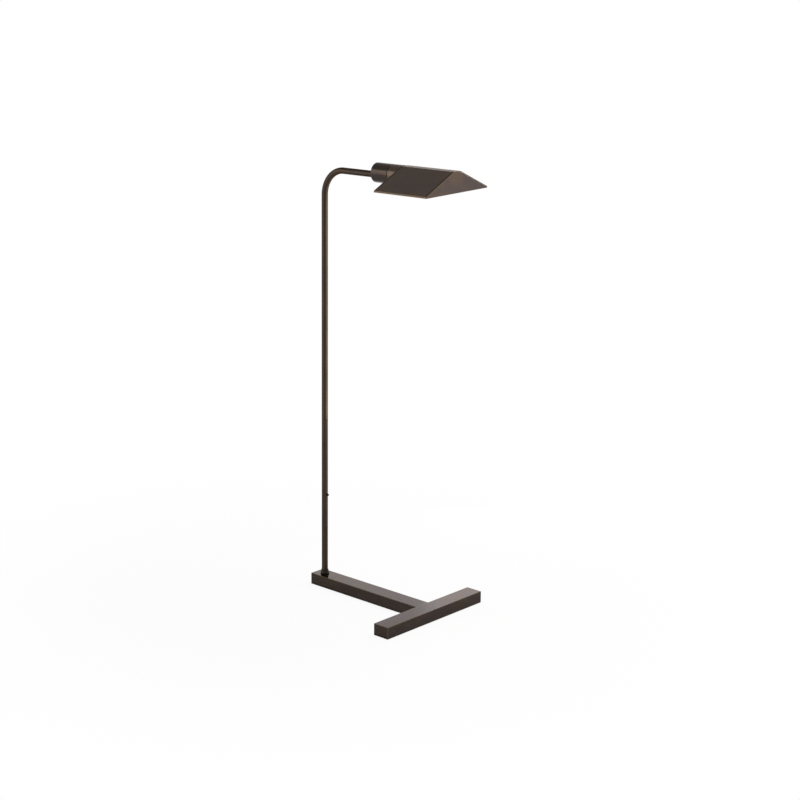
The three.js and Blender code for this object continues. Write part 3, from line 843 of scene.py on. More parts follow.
def ribbed(
    piece: Obj, material: Material, centre: Sequence[float],
    count: int, ring: float, rib: float, length: float,
) -> Obj:
    """Adds a ring of fine ribs round a piece that is turned about the arm.

    Args:
        piece: The turned piece.
        material: Its finish.
        centre: The middle of the ring.
        count: How many ribs there are.
        ring: The radius that they stand on.
        rib: A rib's radius.
        length: A rib's length.

    Returns:
        The same piece.
    """
    sizes = {"Ring": "Float", "Rib": "Float", "Length": "Float"}
    graph = ShapeGraph("ring_of_ribs", Centre="Vector", Count="Int", **sizes)
    given = graph.given
    circle = graph.get("GeometryNodeMeshCircle", {"Vertices": given["Count"], "Radius": given["Ring"]})
    ends = [
        graph.get("ShaderNodeCombineXYZ", {
            "Z": graph.get("ShaderNodeMath", {0: given["Length"], 1: share}, operation="MULTIPLY"),
        })
        for share in (-0.5, 0.5)
    ]
    line = graph.get("GeometryNodeCurvePrimitiveLine", {"Start": ends[0], "End": ends[1]})
    bead = graph.swept(line, graph.ring(given["Rib"], 6))
    ribs = graph.get("GeometryNodeInstanceOnPoints", {"Points": circle, "Instance": bead})
    graph.end(given["Geometry"], graph.laid(ribs))
    return polish(graph.run(piece, material, Centre=centre, Count=count, Ring=ring, Rib=rib, Length=length))


def middle(name: str) -> Vector:
    """The middle of a node's box."""
    low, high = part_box(name)
    return (low + high) / 2


def foot(name: str) -> Vector:
    """The lowest point of an upright node's axis."""
    return Vector((*middle(name).xy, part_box(name)[0].z))


# ------------------------------------------------------------------ base
@dataclass
class BaseBars(SubAssembly):
    """The stem bar and the cross bar, half-lapped into a T, with their screws and pads."""

    arris: float = 0.0006
    worn_band: float = 0.0011
    edge_wear: float = 1.7
    lap_height: float = 0.013
    lap_shoulder: float = 0.004
    seat_gap: float = 0.0003
    joint_line: float = 0.00006
    recess_radius: float = 0.013
    recess_depth: float = 0.0105
    stud_radius: float = 0.0053
    spigot_radius: float = 0.0089
    spigot_depth: float = 0.004
    bushing_hole: float = 0.0045
    bushing_bore: float = 0.0028
    screw_hole: float = 0.0033
    screw_head: float = 0.0056
    screw_rim: float = 0.0009
    screw_lip: float = 0.0006
    screw_depth: float = 0.02
    hex_radius: float = 0.0022
    hex_depth: float = 0.002
    pad_roof: float = 0.0038
    grooves: int = 3
    groove_depth: float = 0.0004
    groove_mouth: float = 0.0007
    groove_bottom: float = 0.0004

    def __post_init__(self) -> None:
        """Finds the bars' corners."""
        self.stem_low, self.stem_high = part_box("stem_bar")
        self.cross_low, self.cross_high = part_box("cross_bar")
        self.half = self.stem_high.y
        self.below = self.stem_low.z - OVERSHOOT

    def squared(self, name: str, low: Vector, high: Vector, joined: Callable[[Vector], bool]) -> Obj:
        """A bar whose outer edges are marked for rounding and wear.

        Args:
            name: The bar's name.
            low: Its lowest corner.
            high: Its highest corner.
            joined: Whether a point lies where the bars meet, so that it isn't worn.

        Returns:
            The bar.
        """
        bm = boxed(low, high)
        for i in range(3):
            cuts = [low[i] + self.worn_band, high[i] - self.worn_band]
            if name == "cross_bar" and i == 1:
                cuts += [-self.half, self.half]
            for at in cuts:
                normal = Vector.Fill(3, 0)
                normal[i] = 1
                parts = [*bm.verts, *bm.edges, *bm.faces]
                bmesh.ops.bisect_plane(bm, geom=parts, dist=1e-7, plane_co=normal * at, plane_no=normal)

        def on_edge(point: Vector) -> bool:
            """Whether a point is on an outer edge that isn't at the joint."""
            sides = sum(min(point[i] - low[i], high[i] - point[i]) < 1e-6 for i in range(3))
            return sides > 1 and not joined(point)

        wear = bm.verts.layers.float.new(WEAR_AND_SHADING)
        weight = bm.edges.layers.float.new("bevel_weight_edge")
        for vertex in bm.verts:
            vertex[wear] = self.edge_wear * on_edge(vertex.co)
        for edge in bm.edges:
            edge[weight] = on_edge((edge.verts[0].co + edge.verts[1].co) / 2)
        return solid_of(name, bm)

    def screw_places(self) -> list[Vector]:
        """The lowest points of the lap screws' axes."""
        return [foot(f"lap_screw_{i}") for i in (1, 2)]

    def pad_hole(self, name: str) -> Obj:
        """The pocket that a pad sits in."""
        low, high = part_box(name)
        return rod((high.y - low.y) / 2 + self.seat_gap, self.below, self.pad_roof, Axis.POLE, foot(name))

    def screw_cut(self, place: Vector) -> Obj:
        """The countersunk hole of a lap screw.

        Args:
            place: The lowest point of the screw's axis.

        Returns:
            The tool that cuts it.
        """
        rim, top = self.stem_low.z + self.screw_rim, self.stem_low.z + self.screw_depth
        wide = self.screw_head + self.seat_gap
        section = [
            Corner(self.below, 0), Corner(self.below, wide), Corner(rim, wide),
            Corner(rim + wide - self.screw_hole, self.screw_hole), Corner(top, self.screw_hole),
            Corner(top, 0),
        ]
        return turned("tool", section, Axis.POLE, place, 48)

    def stem(self) -> Obj:
        """The stem, with its lap tongue, the pole's recess and the hole for the bushing.

        Returns:
            The bar.
        """
        low, high = self.stem_low, Vector((self.cross_low.x - self.joint_line, self.half, self.stem_high.z))
        bar = self.squared("stem_bar", low, high, lambda point: point.x > high.x - 1e-5)
        inner, top = self.half - self.lap_shoulder, high.z + OVERSHOOT
        tongue = block((high.x - 0.01, -inner, low.z), (self.stem_high.x, inner, low.z + self.lap_height))
        combine(bar, "UNION", tongue)
        pole, gland, gland_end = Vector(), middle("cord_bushing"), 0.002 - self.recess_radius
        combine(
            bar, "DIFFERENCE", self.pad_hole("rear_pad"),
            rod(self.recess_radius, self.below, self.pad_roof + self.recess_depth, Axis.POLE, pole),
            rod(self.stud_radius, low.z, top, Axis.POLE, pole),
            rod(self.spigot_radius, high.z - self.spigot_depth, top, Axis.POLE, pole),
            rod(self.bushing_hole, low.x - OVERSHOOT, gland_end, Axis.ARM, gland),
            *(self.screw_cut(place) for place in self.screw_places()),
        )
        return polish(bar, self.arris)

    def cross(self) -> Obj:
        """The cross bar, notched for the tongue and pocketed for its pads.

        Returns:
            The bar.
        """
        low, gap = self.cross_low, self.seat_gap

        def joined(point: Vector) -> bool:
            """Whether a point is where the stem meets the bar."""
            return point.x < low.x + 1e-5 and abs(point.y) < self.half + 1e-5 and point.z > low.z + 1e-5

        bar = self.squared("cross_bar", low, self.cross_high, joined)
        inner = self.half - self.lap_shoulder + gap
        roof = low.z + self.lap_height + gap
        notch = block((low.x - OVERSHOOT, -inner, self.below), (self.stem_high.x + gap, inner, roof))
        combine(bar, "DIFFERENCE", notch, self.pad_hole("cross_pad_1"), self.pad_hole("cross_pad_2"))
        return polish(bar, self.arris)

    def pad(self, name: str, node: str) -> Obj:
        """A rubber pad with ring grooves in its underside, made at the origin.

        Args:
            name: The piece's name.
            node: The node that it has the size of.

        Returns:
            The pad.
        """
        low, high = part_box(node)
        radius, height = (high.y - low.y) / 2, high.z
        section = [Corner(0, 0)]
        for i in range(1, self.grooves + 1):
            at = radius * i / (self.grooves + 1)
            section += [
                Corner(0, at - self.groove_mouth), Corner(self.groove_depth, at - self.groove_bottom),
                Corner(self.groove_depth, at + self.groove_bottom), Corner(0, at + self.groove_mouth),
            ]
        section += [Corner(0, radius, 0.0007), Corner(height, radius, 0.0003), Corner(height, 0)]
        return turned(name, section, Axis.POLE, Vector(), 48)

    def screw(self) -> Obj:
        """A countersunk screw with a hexagon socket, made at the origin.

        Returns:
            The screw.
        """
        low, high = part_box("lap_screw_1")
        long, shank = high.z - low.z, self.screw_hole - self.seat_gap
        head, lip = self.screw_head, self.screw_lip
        section = [
            Corner(0, 0), Corner(0, head, 0.0002), Corner(lip, head), Corner(lip + head - shank, shank),
            Corner(long, shank, 0.0005), Corner(long, 0),
        ]
        screw = turned("screw", section, Axis.POLE, Vector(), 36)
        socket = [
            Corner(-OVERSHOOT, 0), Corner(-OVERSHOOT, self.hex_radius),
            Corner(self.hex_depth, self.hex_radius), Corner(self.hex_depth + 0.0006, 0),
        ]
        return combine(screw, "DIFFERENCE", turned("tool", socket, Axis.POLE, Vector(), 6))

    def bushing(self) -> Obj:
        """The rubber gland in the stem's rear end.

        Returns:
            The gland.
        """
        low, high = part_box("cord_bushing")
        flange, body, mouth = (high.z - low.z) / 2, self.bushing_hole - self.seat_gap, self.stem_low.x
        section = [
            Corner(low.x, self.bushing_bore, 0.0005), Corner(low.x, flange, 0.0007),
            Corner(mouth, flange, 0.0002), Corner(mouth, body), Corner(high.x, body, 0.0003),
            Corner(high.x, self.bushing_bore, 0.0003),
        ]
        return polish(turned("cord_bushing", section, Axis.ARM, middle("cord_bushing"), 48, True))

    def build(self) -> None:
        """Makes and fits the bars and what is fixed to them."""
        fitter = self.fitter
        steel, rubber = fitter.finish("steel"), fitter.finish("black_rubber")
        fitter.fit(self.stem(), "base", "bar_bronze", "stem_bar")
        fitter.fit(self.cross(), "base", "bar_bronze", "cross_bar", finish="cross_bronze")
        screws = repeated("lap_screws", self.screw(), self.screw_places(), steel)
        fitter.fit(screws, "base", "steel", "lap_screw_1", "lap_screw_2")
        fitter.fit(polish(self.pad("rear_pad", "rear_pad")), "base", "black_rubber", "rear_pad")
        places = [foot("cross_pad_1"), foot("cross_pad_2")]
        pads = repeated("cross_pads", self.pad("pad", "cross_pad_1"), places, rubber)
        fitter.fit(pads, "base", "black_rubber", "cross_pad_1", "cross_pad_2")
        fitter.fit(self.bushing(), "base", "black_rubber", "cord_bushing")


@dataclass
class FootCollar(SubAssembly):
    """The flared ferrule that the pole turns in."""

    bore: float = 0.0072
    spigot: float = 0.0086
    top_land: float = 0.0009
    lift: float = 0.0003
    brim: float = 0.0022
    arris: float = 0.0002
    steps: int = 14

    def build(self) -> None:
        """Makes and fits the collar."""
        low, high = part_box("foot_collar")
        wide, land = high.y, self.bore + self.top_land
        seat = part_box("stem_bar")[1].z + self.lift
        brim = seat + self.brim
        flare = [Corner(seat, wide, self.arris)]
        for i in range(self.steps + 1):
            rise = i / self.steps
            out = land + (wide - land) * (1 - rise) ** 2
            edge = self.arris * (i in (0, self.steps))
            flare.append(Corner(brim + (high.z - brim) * rise, out, edge))
        section = [
            Corner(low.z, self.bore), Corner(low.z, self.spigot), Corner(seat, self.spigot), *flare,
            Corner(high.z, self.bore),
        ]
        collar = polish(turned("foot_collar", section, Axis.POLE, Vector(), 72, True, 3, 0.0004))
        self.fitter.fit(collar, "base", "dark_hardware", "foot_collar", finish="collar_bronze")


# ------------------------------------------------------------------ pole
@dataclass
class PoleTube(SubAssembly):
    """The pole's two lengths of tube: a straight one, and one that bends over into the arm."""

    radius: float = 0.0069
    bend: float = 0.056
    sides: int = 56
    bend_steps: int = 40
    into_cap: float = 0.0005
    joint_line: float = 0.00012
    rim: float = 0.0002
    # how much each length's inner side is lightened: rubbed patina that also paints a warm highlight
    rubbed_and_highlight: dict[str, float] = field(default_factory=lambda: {"pole_lower": 0.35, "pole_upper": 0.8})
    highlight_from: float = 0.84  # how squarely a place faces inwards where the rubbed patina and painted highlight start
    highlight_full: float = 0.96
    # how dark shade is painted on the arm's underside
    painted_underside_shade: float = 0.45
    painted_shade_full: float = 0.4  # how squarely a place faces inwards where the painted shade is full

    def __post_init__(self) -> None:
        """Finds the height of the arm, and where the bend starts."""
        self.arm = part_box("pole_upper")[1].z - self.radius
        self.turn = self.arm - self.bend

    def tree(self) -> ShapeGraph:
        """A tree that draws a tube along a path and bends it at the path's corner.

        Returns:
            The tree.
        """
        graph = ShapeGraph("bent_tube", Bend="Float", Steps="Int", Radius="Float", Sides="Int")
        given, store = graph.given, "GeometryNodeStoreNamedAttribute"
        path = graph.get("GeometryNodeMeshToCurve", {"Mesh": given["Geometry"]})
        corner = {"Curve": path, "Count": given["Steps"], "Radius": given["Bend"]}
        bent = graph.get("GeometryNodeFilletCurve", corner, mode="POLY")
        run = graph.add("GeometryNodeSplineParameter").outputs["Length"]
        measured = graph.get(store, {"Geometry": bent, "Name": ALONG, "Value": run})
        place = graph.get("GeometryNodeInputPosition")
        marks = {"Geometry": graph.ring(given["Radius"], given["Sides"]), "Name": AROUND, "Value": place}
        graph.end(graph.swept(measured, graph.get(store, marks, data_type="FLOAT_VECTOR")))
        return graph

    def length(self, name: str, path: Sequence[Sequence[float]]) -> Obj:
        """One length of tube.

        Args:
            name: The piece's name.
            path: Points of its centre line.

        Returns:
            The piece, with its ends' rims rounded.
        """
        sizes = {"Bend": self.bend, "Steps": self.bend_steps, "Radius": self.radius, "Sides": self.sides}
        tube = self.tree().run(traced(name, path, joined=True), self.fitter.finish("tube_bronze"), **sizes)
        return self.paint_highlight_and_shade(round_edges(tube, self.rim), self.rubbed_and_highlight[name])

    def paint_highlight_and_shade(self, tube: Obj, most: float) -> Obj:
        """Rubs the upright's inner side where hands take hold, painting a warm highlight there, and paints shade
        under the arm.

        Args:
            tube: A length of tube.
            most: The rubbed patina and painted highlight in the middle of the inner side.

        Returns:
            The same piece.
        """
        wear = tube.data.attributes.new(WEAR_AND_SHADING, "FLOAT", "POINT")
        for vertex in tube.data.vertices:
            x, _, z = vertex.co
            inner = Vector((max(self.bend - x, 0.0), 0, min(self.turn - z, 0.0)))
            inner = inner.normalized() if inner.length > 0 else Vector((0, 0, -1))
            spine = Vector((0, 0, z)) if z < self.turn else Vector((x, 0, self.arm))
            if x < self.bend and z > self.turn:
                spine = Vector((self.bend, 0, self.turn)) - inner * self.bend
            facing = (vertex.co - spine).normalized().dot(inner)
            rubbed_and_highlight = most * max(0.0, min(1.0, (facing - self.highlight_from) / (self.highlight_full - self.highlight_from)))
            painted_underside_shade = self.painted_underside_shade * max(0.0, min(1.0, facing / self.painted_shade_full))
            # above 0 lightens the inner side as rubbed patina and painted highlight; below 0 paints shade under
            # the arm
            wear.data[vertex.index].value = rubbed_and_highlight * math.sqrt(inner.x) - painted_underside_shade * (1 - inner.x) ** 2
        return tube

    def build(self) -> None:
        """Makes and fits both lengths."""
        joint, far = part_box("pole_upper")[0].z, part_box("pole_upper")[1].x + self.into_cap
        lower = [foot("pole_lower"), (0, 0, joint - self.joint_line)]
        upper = [(0, 0, joint), (0, 0, self.arm), (far, 0, self.arm)]
        for name, path in (("pole_lower", lower), ("pole_upper", upper)):
            self.fitter.fit(self.length(name, path), "pole", "tube_bronze", name)


@dataclass
class PushSwitch(SubAssembly):
    """The push button low on the pole, in its knurled bezel."""

    bore: float = 0.0022
    button: float = 0.0019
    skirt: float = 0.0026
    skirt_length: float = 0.001
    knurls: int = 28
    knurl: float = 0.00022
    knurl_length: float = 0.0007
    knurl_inset: float = 0.00095  # from the bezel's front to the middle of the knurls
    dome: float = 0.0009
    dome_share: float = 0.72  # of the button's radius
    fade: float = 0.0003

    def bezel(self) -> Obj:
        """The ring that the button slides in.

        Returns:
            The bezel.
        """
        low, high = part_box("switch_bezel")
        wide = high.y
        section = [
            Corner(low.x, self.bore), Corner(low.x, wide), Corner(high.x, wide, 0.0005, 0.4),
            Corner(high.x, self.bore, 0.0002, 0.2),
        ]
        axis = middle("switch_bezel")
        bezel = polish(turned("switch_bezel", section, Axis.ARM, axis, 48, True, fade=self.fade))
        centre = (high.x - self.knurl_inset, 0, axis.z)
        dark = self.fitter.finish("dark_hardware")
        return ribbed(bezel, dark, centre, self.knurls, wide - 0.00012, self.knurl, self.knurl_length)

    def push(self) -> Obj:
        """The button, with a skirt that keeps it in and a domed end.

        Returns:
            The button.
        """
        low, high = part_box("switch_button")
        skirt_end = low.x + self.skirt_length
        angles = [math.radians(15 * k) for k in reversed(range(6))]
        section = [
            Corner(low.x, 0), Corner(low.x, self.skirt, 0.0001), Corner(skirt_end, self.skirt, 0.0001),
            Corner(skirt_end, self.button), Corner(high.x - self.dome - 0.0002, self.button, 0.0005, 0.15),
        ]
        for angle in angles:
            out = self.button * self.dome_share * math.sin(angle)
            section.append(Corner(high.x - self.dome * math.sin(angle) ** 2, out, 0, 0.15))
        axis = middle("switch_bezel")
        return polish(turned("switch_button", section, Axis.ARM, axis, 40, fade=self.fade))

    def build(self) -> None:
        """Makes and fits the bezel and the button."""
        self.fitter.fit(self.bezel(), "pole", "dark_hardware", "switch_bezel")
        self.fitter.fit(self.push(), "button", "dark_hardware", "switch_button")


# ------------------------------------------------------------------ head
@dataclass
class HeadCylinder(SubAssembly):
    """The cylinder at the arm's end: a fixed cap, a dark seam and the socket housing that turns."""

    wall: float = 0.0015
    entry: float = 0.0053
    entry_drop: float = 0.0045
    nipple: float = 0.0053
    sides: int = 96
    fade: float = 0.0008
    # how dark shade is painted on each cup's underside
    painted_underside_shade: dict[str, float] = field(default_factory=lambda: {"head_cap": 0.55, "socket_housing": 0.3})
    painted_shade_below: float = 0.15  # how far a place faces up where the painted shade starts
    painted_shade_span: float = 0.2
    unworn: float = 0.01

    def __post_init__(self) -> None:
        """Finds the axis that the head turns on."""
        turn = next(joint for joint in frame["joints"] if joint["name"] == "shade_turn")
        self.axis = Vector(turn["pos_m"])

    def finished(self, piece: Obj) -> Obj:
        """Polishes a cup, and paints shade on its underside by darkening the patina there.

        Args:
            piece: The cup.

        Returns:
            The same piece.
        """
        most = self.painted_underside_shade[piece.name.split(".")[0]]
        wear = polish(piece).data.attributes[WEAR_AND_SHADING]
        for vertex in piece.data.vertices:
            out = (vertex.co - self.axis) * Vector((0, 1, 1))
            facing = out.z / max(out.length, 1e-6)
            # painted shade, growing towards the underside
            below = max(0.0, min(1.0, (self.painted_shade_below - facing) / self.painted_shade_span))
            if out.length > self.nipple and abs(wear.data[vertex.index].value) < self.unworn:
                wear.data[vertex.index].value = -most * below
        return piece

    def cap(self) -> Obj:
        """The cap, closed behind and holed for the arm.

        Returns:
            The cap.
        """
        low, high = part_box("head_cap")
        wide, bore, floor = high.y, high.y - self.wall, low.x + self.wall
        section = [
            Corner(low.x, 0), Corner(low.x, wide, 0.0009, 0.3), Corner(high.x, wide, 0.0003, 0.25),
            Corner(high.x, bore), Corner(floor, bore), Corner(floor, 0),
        ]
        cap = turned("head_cap", section, Axis.ARM, self.axis, self.sides, steps=5, fade=self.fade)
        below = self.axis - Vector((0, 0, self.entry_drop))
        hole = rod(self.entry, low.x - OVERSHOOT, floor + OVERSHOOT, Axis.ARM, below)
        return self.finished(combine(cap, "DIFFERENCE", hole))

    def housing(self) -> Obj:
        """The socket housing, closed towards the cap.

        Returns:
            The housing.
        """
        low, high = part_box("socket_housing")
        wide, bore, floor = high.y, high.y - self.wall, low.x + 2 * self.wall
        section = [
            Corner(low.x, self.nipple), Corner(low.x, wide, 0.0003, 0.25),
            Corner(high.x, wide, 0.0003, 0.2), Corner(high.x, bore), Corner(floor, bore),
            Corner(floor, self.nipple),
        ]
        housing = turned("socket_housing", section, Axis.ARM, self.axis, self.sides, True, fade=self.fade)
        return self.finished(housing)

    def seam(self) -> Obj:
        """The dark washer sunk between the two.

        Returns:
            The washer.
        """
        low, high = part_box("seam_washer")
        section = [
            Corner(low.x, self.nipple), Corner(low.x, high.y, 0.0002), Corner(high.x, high.y, 0.0002),
            Corner(high.x, self.nipple),
        ]
        return polish(turned("seam_washer", section, Axis.ARM, self.axis, self.sides, True, steps=3))

    def build(self) -> None:
        """Makes and fits the cylinder's pieces."""
        self.fitter.fit(self.cap(), "pole", "head_bronze", "head_cap")
        self.fitter.fit(self.seam(), "head", "dark_hardware", "seam_washer")
        self.fitter.fit(self.housing(), "head", "head_bronze", "socket_housing", finish="housing_bronze")


@dataclass
class TroughShade(SubAssembly):
    """The folded sheet over the bulb, with its end plates."""

    axis: Vector
    half_width: float = 0.094
    ridge_half: float = 0.010
    rise: float = 0.0203
    drop: float = 0.0235
    lip: float = 0.0035
    stance: float = math.radians(2)
    wall: float = 0.0015
    ridge_fold: float = 0.0025
    fold: float = 0.0011
    seam: float = 0.0003
    collar_hole: float = 0.0165
    bright_edge: float = 0.00035
    plate_edge: float = 0.00025
    plate_wear: float = 0.15
    plate_rim: float = 0.0012  # how far the wear reaches in from an end plate's edge
    # how dark shade is painted in the crease above the lip's fold
    painted_crease_shade: float = -0.7
    painted_crease_rows: tuple[float, ...] = (0.0030, 0.0024, 0.0018, 0.0012)  # rows of painted shade above the lip's fold
    end_rows: tuple[float, ...] = (0, 0.0004, 0.0009, 0.0036, 0.0056)  # distances from a cut end
    # bright wear on each cut end, then a line of painted shade just inside it
    end_wear_and_shading: tuple[float, ...] = (1.1, 0.7, -0.7, -0.7, 0)
    bays: int = 12

    def section(self, inset: float) -> list[Corner]:
        """The outline from one lower edge over the flat ridge to the other, turned by the shade's stance.

        Args:
            inset: How far it lies inside the sheet's outer face.

        Returns:
            Points with u across the lamp and v above the head's axis.
        """
        slope = math.atan2(self.rise + self.drop - self.lip, self.half_width - self.ridge_half)
        sine, cosine = math.sin(slope), math.cos(slope)
        away = self.half_width * sine - (self.drop - self.lip) * cosine - inset
        rise, side = self.rise - inset, self.half_width - inset
        eave = (away - side * sine) / cosine
        half = [
            Corner(0, rise),
            Corner((away - rise * cosine) / sine, rise, self.ridge_fold - inset / 2),
            # painted shade in the crease above the lip's fold
            *(Corner(side - up * cosine, eave + up * sine, 0, self.painted_crease_shade) for up in self.painted_crease_rows),
            Corner(side, eave, max(self.fold - inset, 0.0002), 0.9),
            Corner(side, -self.drop, 0, 1.2),
        ]
        half = rounded(half, False, 6, 0.0004)
        whole = [Corner(-c.u, c.v, 0, c.wear) for c in reversed(half[1:])] + half
        turn = complex(math.cos(self.stance), math.sin(self.stance))
        spots = [(turn * complex(corner.u, corner.v), corner.wear) for corner in whole]
        return [Corner(spot.real, spot.imag, 0, wear_shading) for spot, wear_shading in spots]

    def walled(self, sheet: Obj) -> Obj:
        """Gives a sheet its thickness, inwards, with bronze outside and white enamel inside.

        Args:
            sheet: The sheet.

        Returns:
            The same piece.
        """
        skin = sheet.modifiers.new("wall", "SOLIDIFY")
        skin.thickness, skin.offset, skin.use_even_offset, skin.material_offset = self.wall, -1, True, 1
        return settle(sheet)

    def body(self) -> Obj:
        """The folded sheet.

        Returns:
            The piece.
        """
        bm = bmesh.new()
        wear = bm.verts.layers.float.new(WEAR_AND_SHADING)
        low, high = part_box("shade_body")
        section, length = self.section(0), high.x - low.x
        end = list(zip(self.end_rows, self.end_wear_and_shading))
        stations = end + [(length * k / self.bays, 0) for k in range(1, self.bays)]
        stations += [(length - along, wear_shading) for along, wear_shading in reversed(end)]
        rows = []
        for along, wear_shading in stations:
            row = []
            for spot in section:
                vertex = bm.verts.new((low.x + along, spot.u, self.axis.z + spot.v))
                vertex[wear] = spot.wear if spot.wear > abs(wear_shading) else wear_shading
                row.append(vertex)
            rows.append(row)
        for here, there in zip(rows, rows[1:]):
            for k in range(len(section) - 1):
                bm.faces.new((here[k], there[k], there[k + 1], here[k + 1]))
        sheet = self.fitter.dress(sheet_of("shade_body", bm), "shade_bronze", "white_enamel")
        if sheet.data.polygons[len(section) // 2].normal.z < 0:
            sheet.data.flip_normals()
        return round_edges(self.walled(sheet), self.bright_edge)

    def gable(self, name: str, facing: float, hole: float) -> Obj:
        """An end plate inside the folded sheet.

        Args:
            name: The plate's name.
            facing: 1 for the front plate and -1 for the rear one.
            hole: The radius of its hole, or 0.

        Returns:
            The plate.
        """
        low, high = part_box(name)
        face = high.x if facing > 0 else low.x
        bm = bmesh.new()
        wear = bm.verts.layers.float.new(WEAR_AND_SHADING)
        outline = self.section(self.wall + self.seam)
        bm.faces.new([bm.verts.new((face, spot.u, self.axis.z + spot.v)) for spot in outline])
        bmesh.ops.remove_doubles(bm, verts=bm.verts, dist=1e-6)
        for vertex in bm.verts:
            vertex[wear] = self.plate_wear
        bm.normal_update()
        if bm.faces[:][0].normal.x * facing < 0:
            bmesh.ops.reverse_faces(bm, faces=bm.faces)
        bmesh.ops.inset_region(bm, faces=bm.faces, thickness=self.plate_rim, use_even_offset=True)
        for vertex in {v for f in bm.faces if len(f.verts) > 4 for v in f.verts}:
            vertex[wear] = 0.0
        plate = self.walled(self.fitter.dress(sheet_of(name, bm), "gable_bronze", "white_enamel"))
        if hole:
            cutter = rod(hole, low.x - OVERSHOOT, high.x + OVERSHOOT, Axis.ARM, self.axis)
            combine(plate, "DIFFERENCE", cutter)
        return round_edges(plate, self.plate_edge)

    def build(self) -> None:
        """Makes and fits the sheet and its end plates."""
        self.fitter.fit(self.body(), "head", "shade_bronze", "shade_body")
        for name, facing, hole in (("front_gable", 1, 0), ("rear_gable", -1, self.collar_hole)):
            self.fitter.fit(self.gable(name, facing, hole), "head", "shade_bronze", name)


@dataclass
class Lampholder(SubAssembly):
    """The lampholder with its ribbed shade ring, and the tubular bulb in it."""

    axis: Vector
    wall: float = 0.0019
    flange: float = 0.0012
    flange_thick: float = 0.003
    floor: float = 0.0045
    gap: float = 0.0003
    ribs: int = 60
    rib: float = 0.0004
    cap_wall: float = 0.0005
    thread_turns: float = 4.5
    thread: float = 0.0008
    thread_height: float = 0.0006
    thread_start: float = 0.0022
    thread_share: float = 0.66  # of the cap's length
    thread_sunk: float = 0.0002
    shoulder: float = 0.012
    glass_wall: float = 0.001
    glass_slack: float = 0.0002
    dome_steps: int = 14

    def holder(self) -> Obj:
        """The moulded holder.

        Returns:
            The piece.
        """
        low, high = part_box("lampholder")
        wide, body = high.y, high.y - self.flange
        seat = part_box("rear_gable")[0].x - self.gap
        back, bore, floor = seat - self.flange_thick, body - self.wall, low.x + self.floor
        section = [
            Corner(low.x, 0), Corner(low.x, body, 0.001), Corner(back, body), Corner(back, wide, 0.0004),
            Corner(seat, wide, 0.0003), Corner(seat, body), Corner(high.x, body, 0.0006),
            Corner(high.x, bore, 0.0005), Corner(floor, bore), Corner(floor, 0),
        ]
        return polish(turned("lampholder", section, Axis.ARM, self.axis, 64))

    def ring(self) -> Obj:
        """The shade ring, ribbed for the fingers.

        Returns:
            The piece.
        """
        low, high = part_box("shade_ring")
        wide, bore = high.y - self.rib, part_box("lampholder")[1].y - self.flange + self.gap
        section = [
            Corner(low.x, bore), Corner(low.x, wide, 0.0003), Corner(high.x, wide, 0.0006),
            Corner(high.x, bore, 0.0004),
        ]
        ring = polish(turned("shade_ring", section, Axis.ARM, self.axis, closed=True))
        centre = ((low.x + high.x) / 2, 0, self.axis.z)
        resin, length = self.fitter.finish("black_phenolic"), (high.x - low.x) * 0.7
        return ribbed(ring, resin, centre, self.ribs, wide - 0.0001, self.rib, length)

    def cap(self) -> Obj:
        """The bulb's threaded cap.

        Returns:
            The piece.
        """
        low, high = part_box("bulb_cap")
        root = high.y - self.thread_height
        section = [
            Corner(low.x, root - self.cap_wall), Corner(low.x, root, 0.0003), Corner(high.x, root, 0.0003),
            Corner(high.x, root - self.cap_wall),
        ]
        cap = polish(turned("bulb_cap", section, Axis.ARM, self.axis, 64, closed=True, steps=3))
        sizes = {"Turns": "Float", "Radius": "Float", "Length": "Float", "Thread": "Float"}
        graph = ShapeGraph("rolled_thread", **sizes, Centre="Vector")
        given = graph.given
        helix = graph.get("GeometryNodeCurveSpiral", {
            "Resolution": 40, "Rotations": given["Turns"], "Start Radius": given["Radius"],
            "End Radius": given["Radius"], "Height": given["Length"],
        })
        graph.end(given["Geometry"], graph.laid(graph.swept(helix, graph.ring(given["Thread"], 10))))
        return polish(graph.run(
            cap, self.fitter.finish("plain_brass"), Turns=self.thread_turns,
            Radius=root - self.thread_sunk, Length=(high.x - low.x) * self.thread_share,
            Thread=self.thread, Centre=(low.x + self.thread_start, 0, self.axis.z),
        ))

    def skin(self, inset: float) -> list[Corner]:
        """The bulb's outline: a neck, a shoulder and a domed end.

        Args:
            inset: How far it lies inside the glass's outer face.

        Returns:
            Points with u along the axis and v from it.
        """
        low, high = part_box("bulb_glass")
        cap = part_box("bulb_cap")[1]
        neck = cap.y - self.thread_height - self.cap_wall - self.glass_slack - inset
        radius, centre = high.y - inset, high.x - high.y
        angles = [math.pi / 2 * k / self.dome_steps for k in range(self.dome_steps)]
        dome = [Corner(centre + radius * math.sin(a), radius * math.cos(a)) for a in angles]
        shoulder = Corner(cap.x + self.shoulder, radius, 0.02)
        side = [Corner(low.x, neck), Corner(cap.x, neck, 0.004), shoulder, dome[0]]
        return rounded(side, False, 8)[:-1] + dome + [Corner(high.x - inset, 0)]

    def glass(self) -> Obj:
        """The frosted tube."""
        section = self.skin(0) + self.skin(self.glass_wall)[::-1]
        return polish(turned("bulb_glass", section, Axis.ARM, self.axis, 64, closed=True))

    def build(self) -> None:
        """Makes and fits the holder's and the bulb's pieces."""
        for make, slot, node in (
            (self.holder, "black_phenolic", "lampholder"), (self.ring, "black_phenolic", "shade_ring"),
            (self.cap, "plain_brass", "bulb_cap"), (self.glass, "frosted_glass", "bulb_glass"),
        ):
            self.fitter.fit(make(), "head", slot, node)


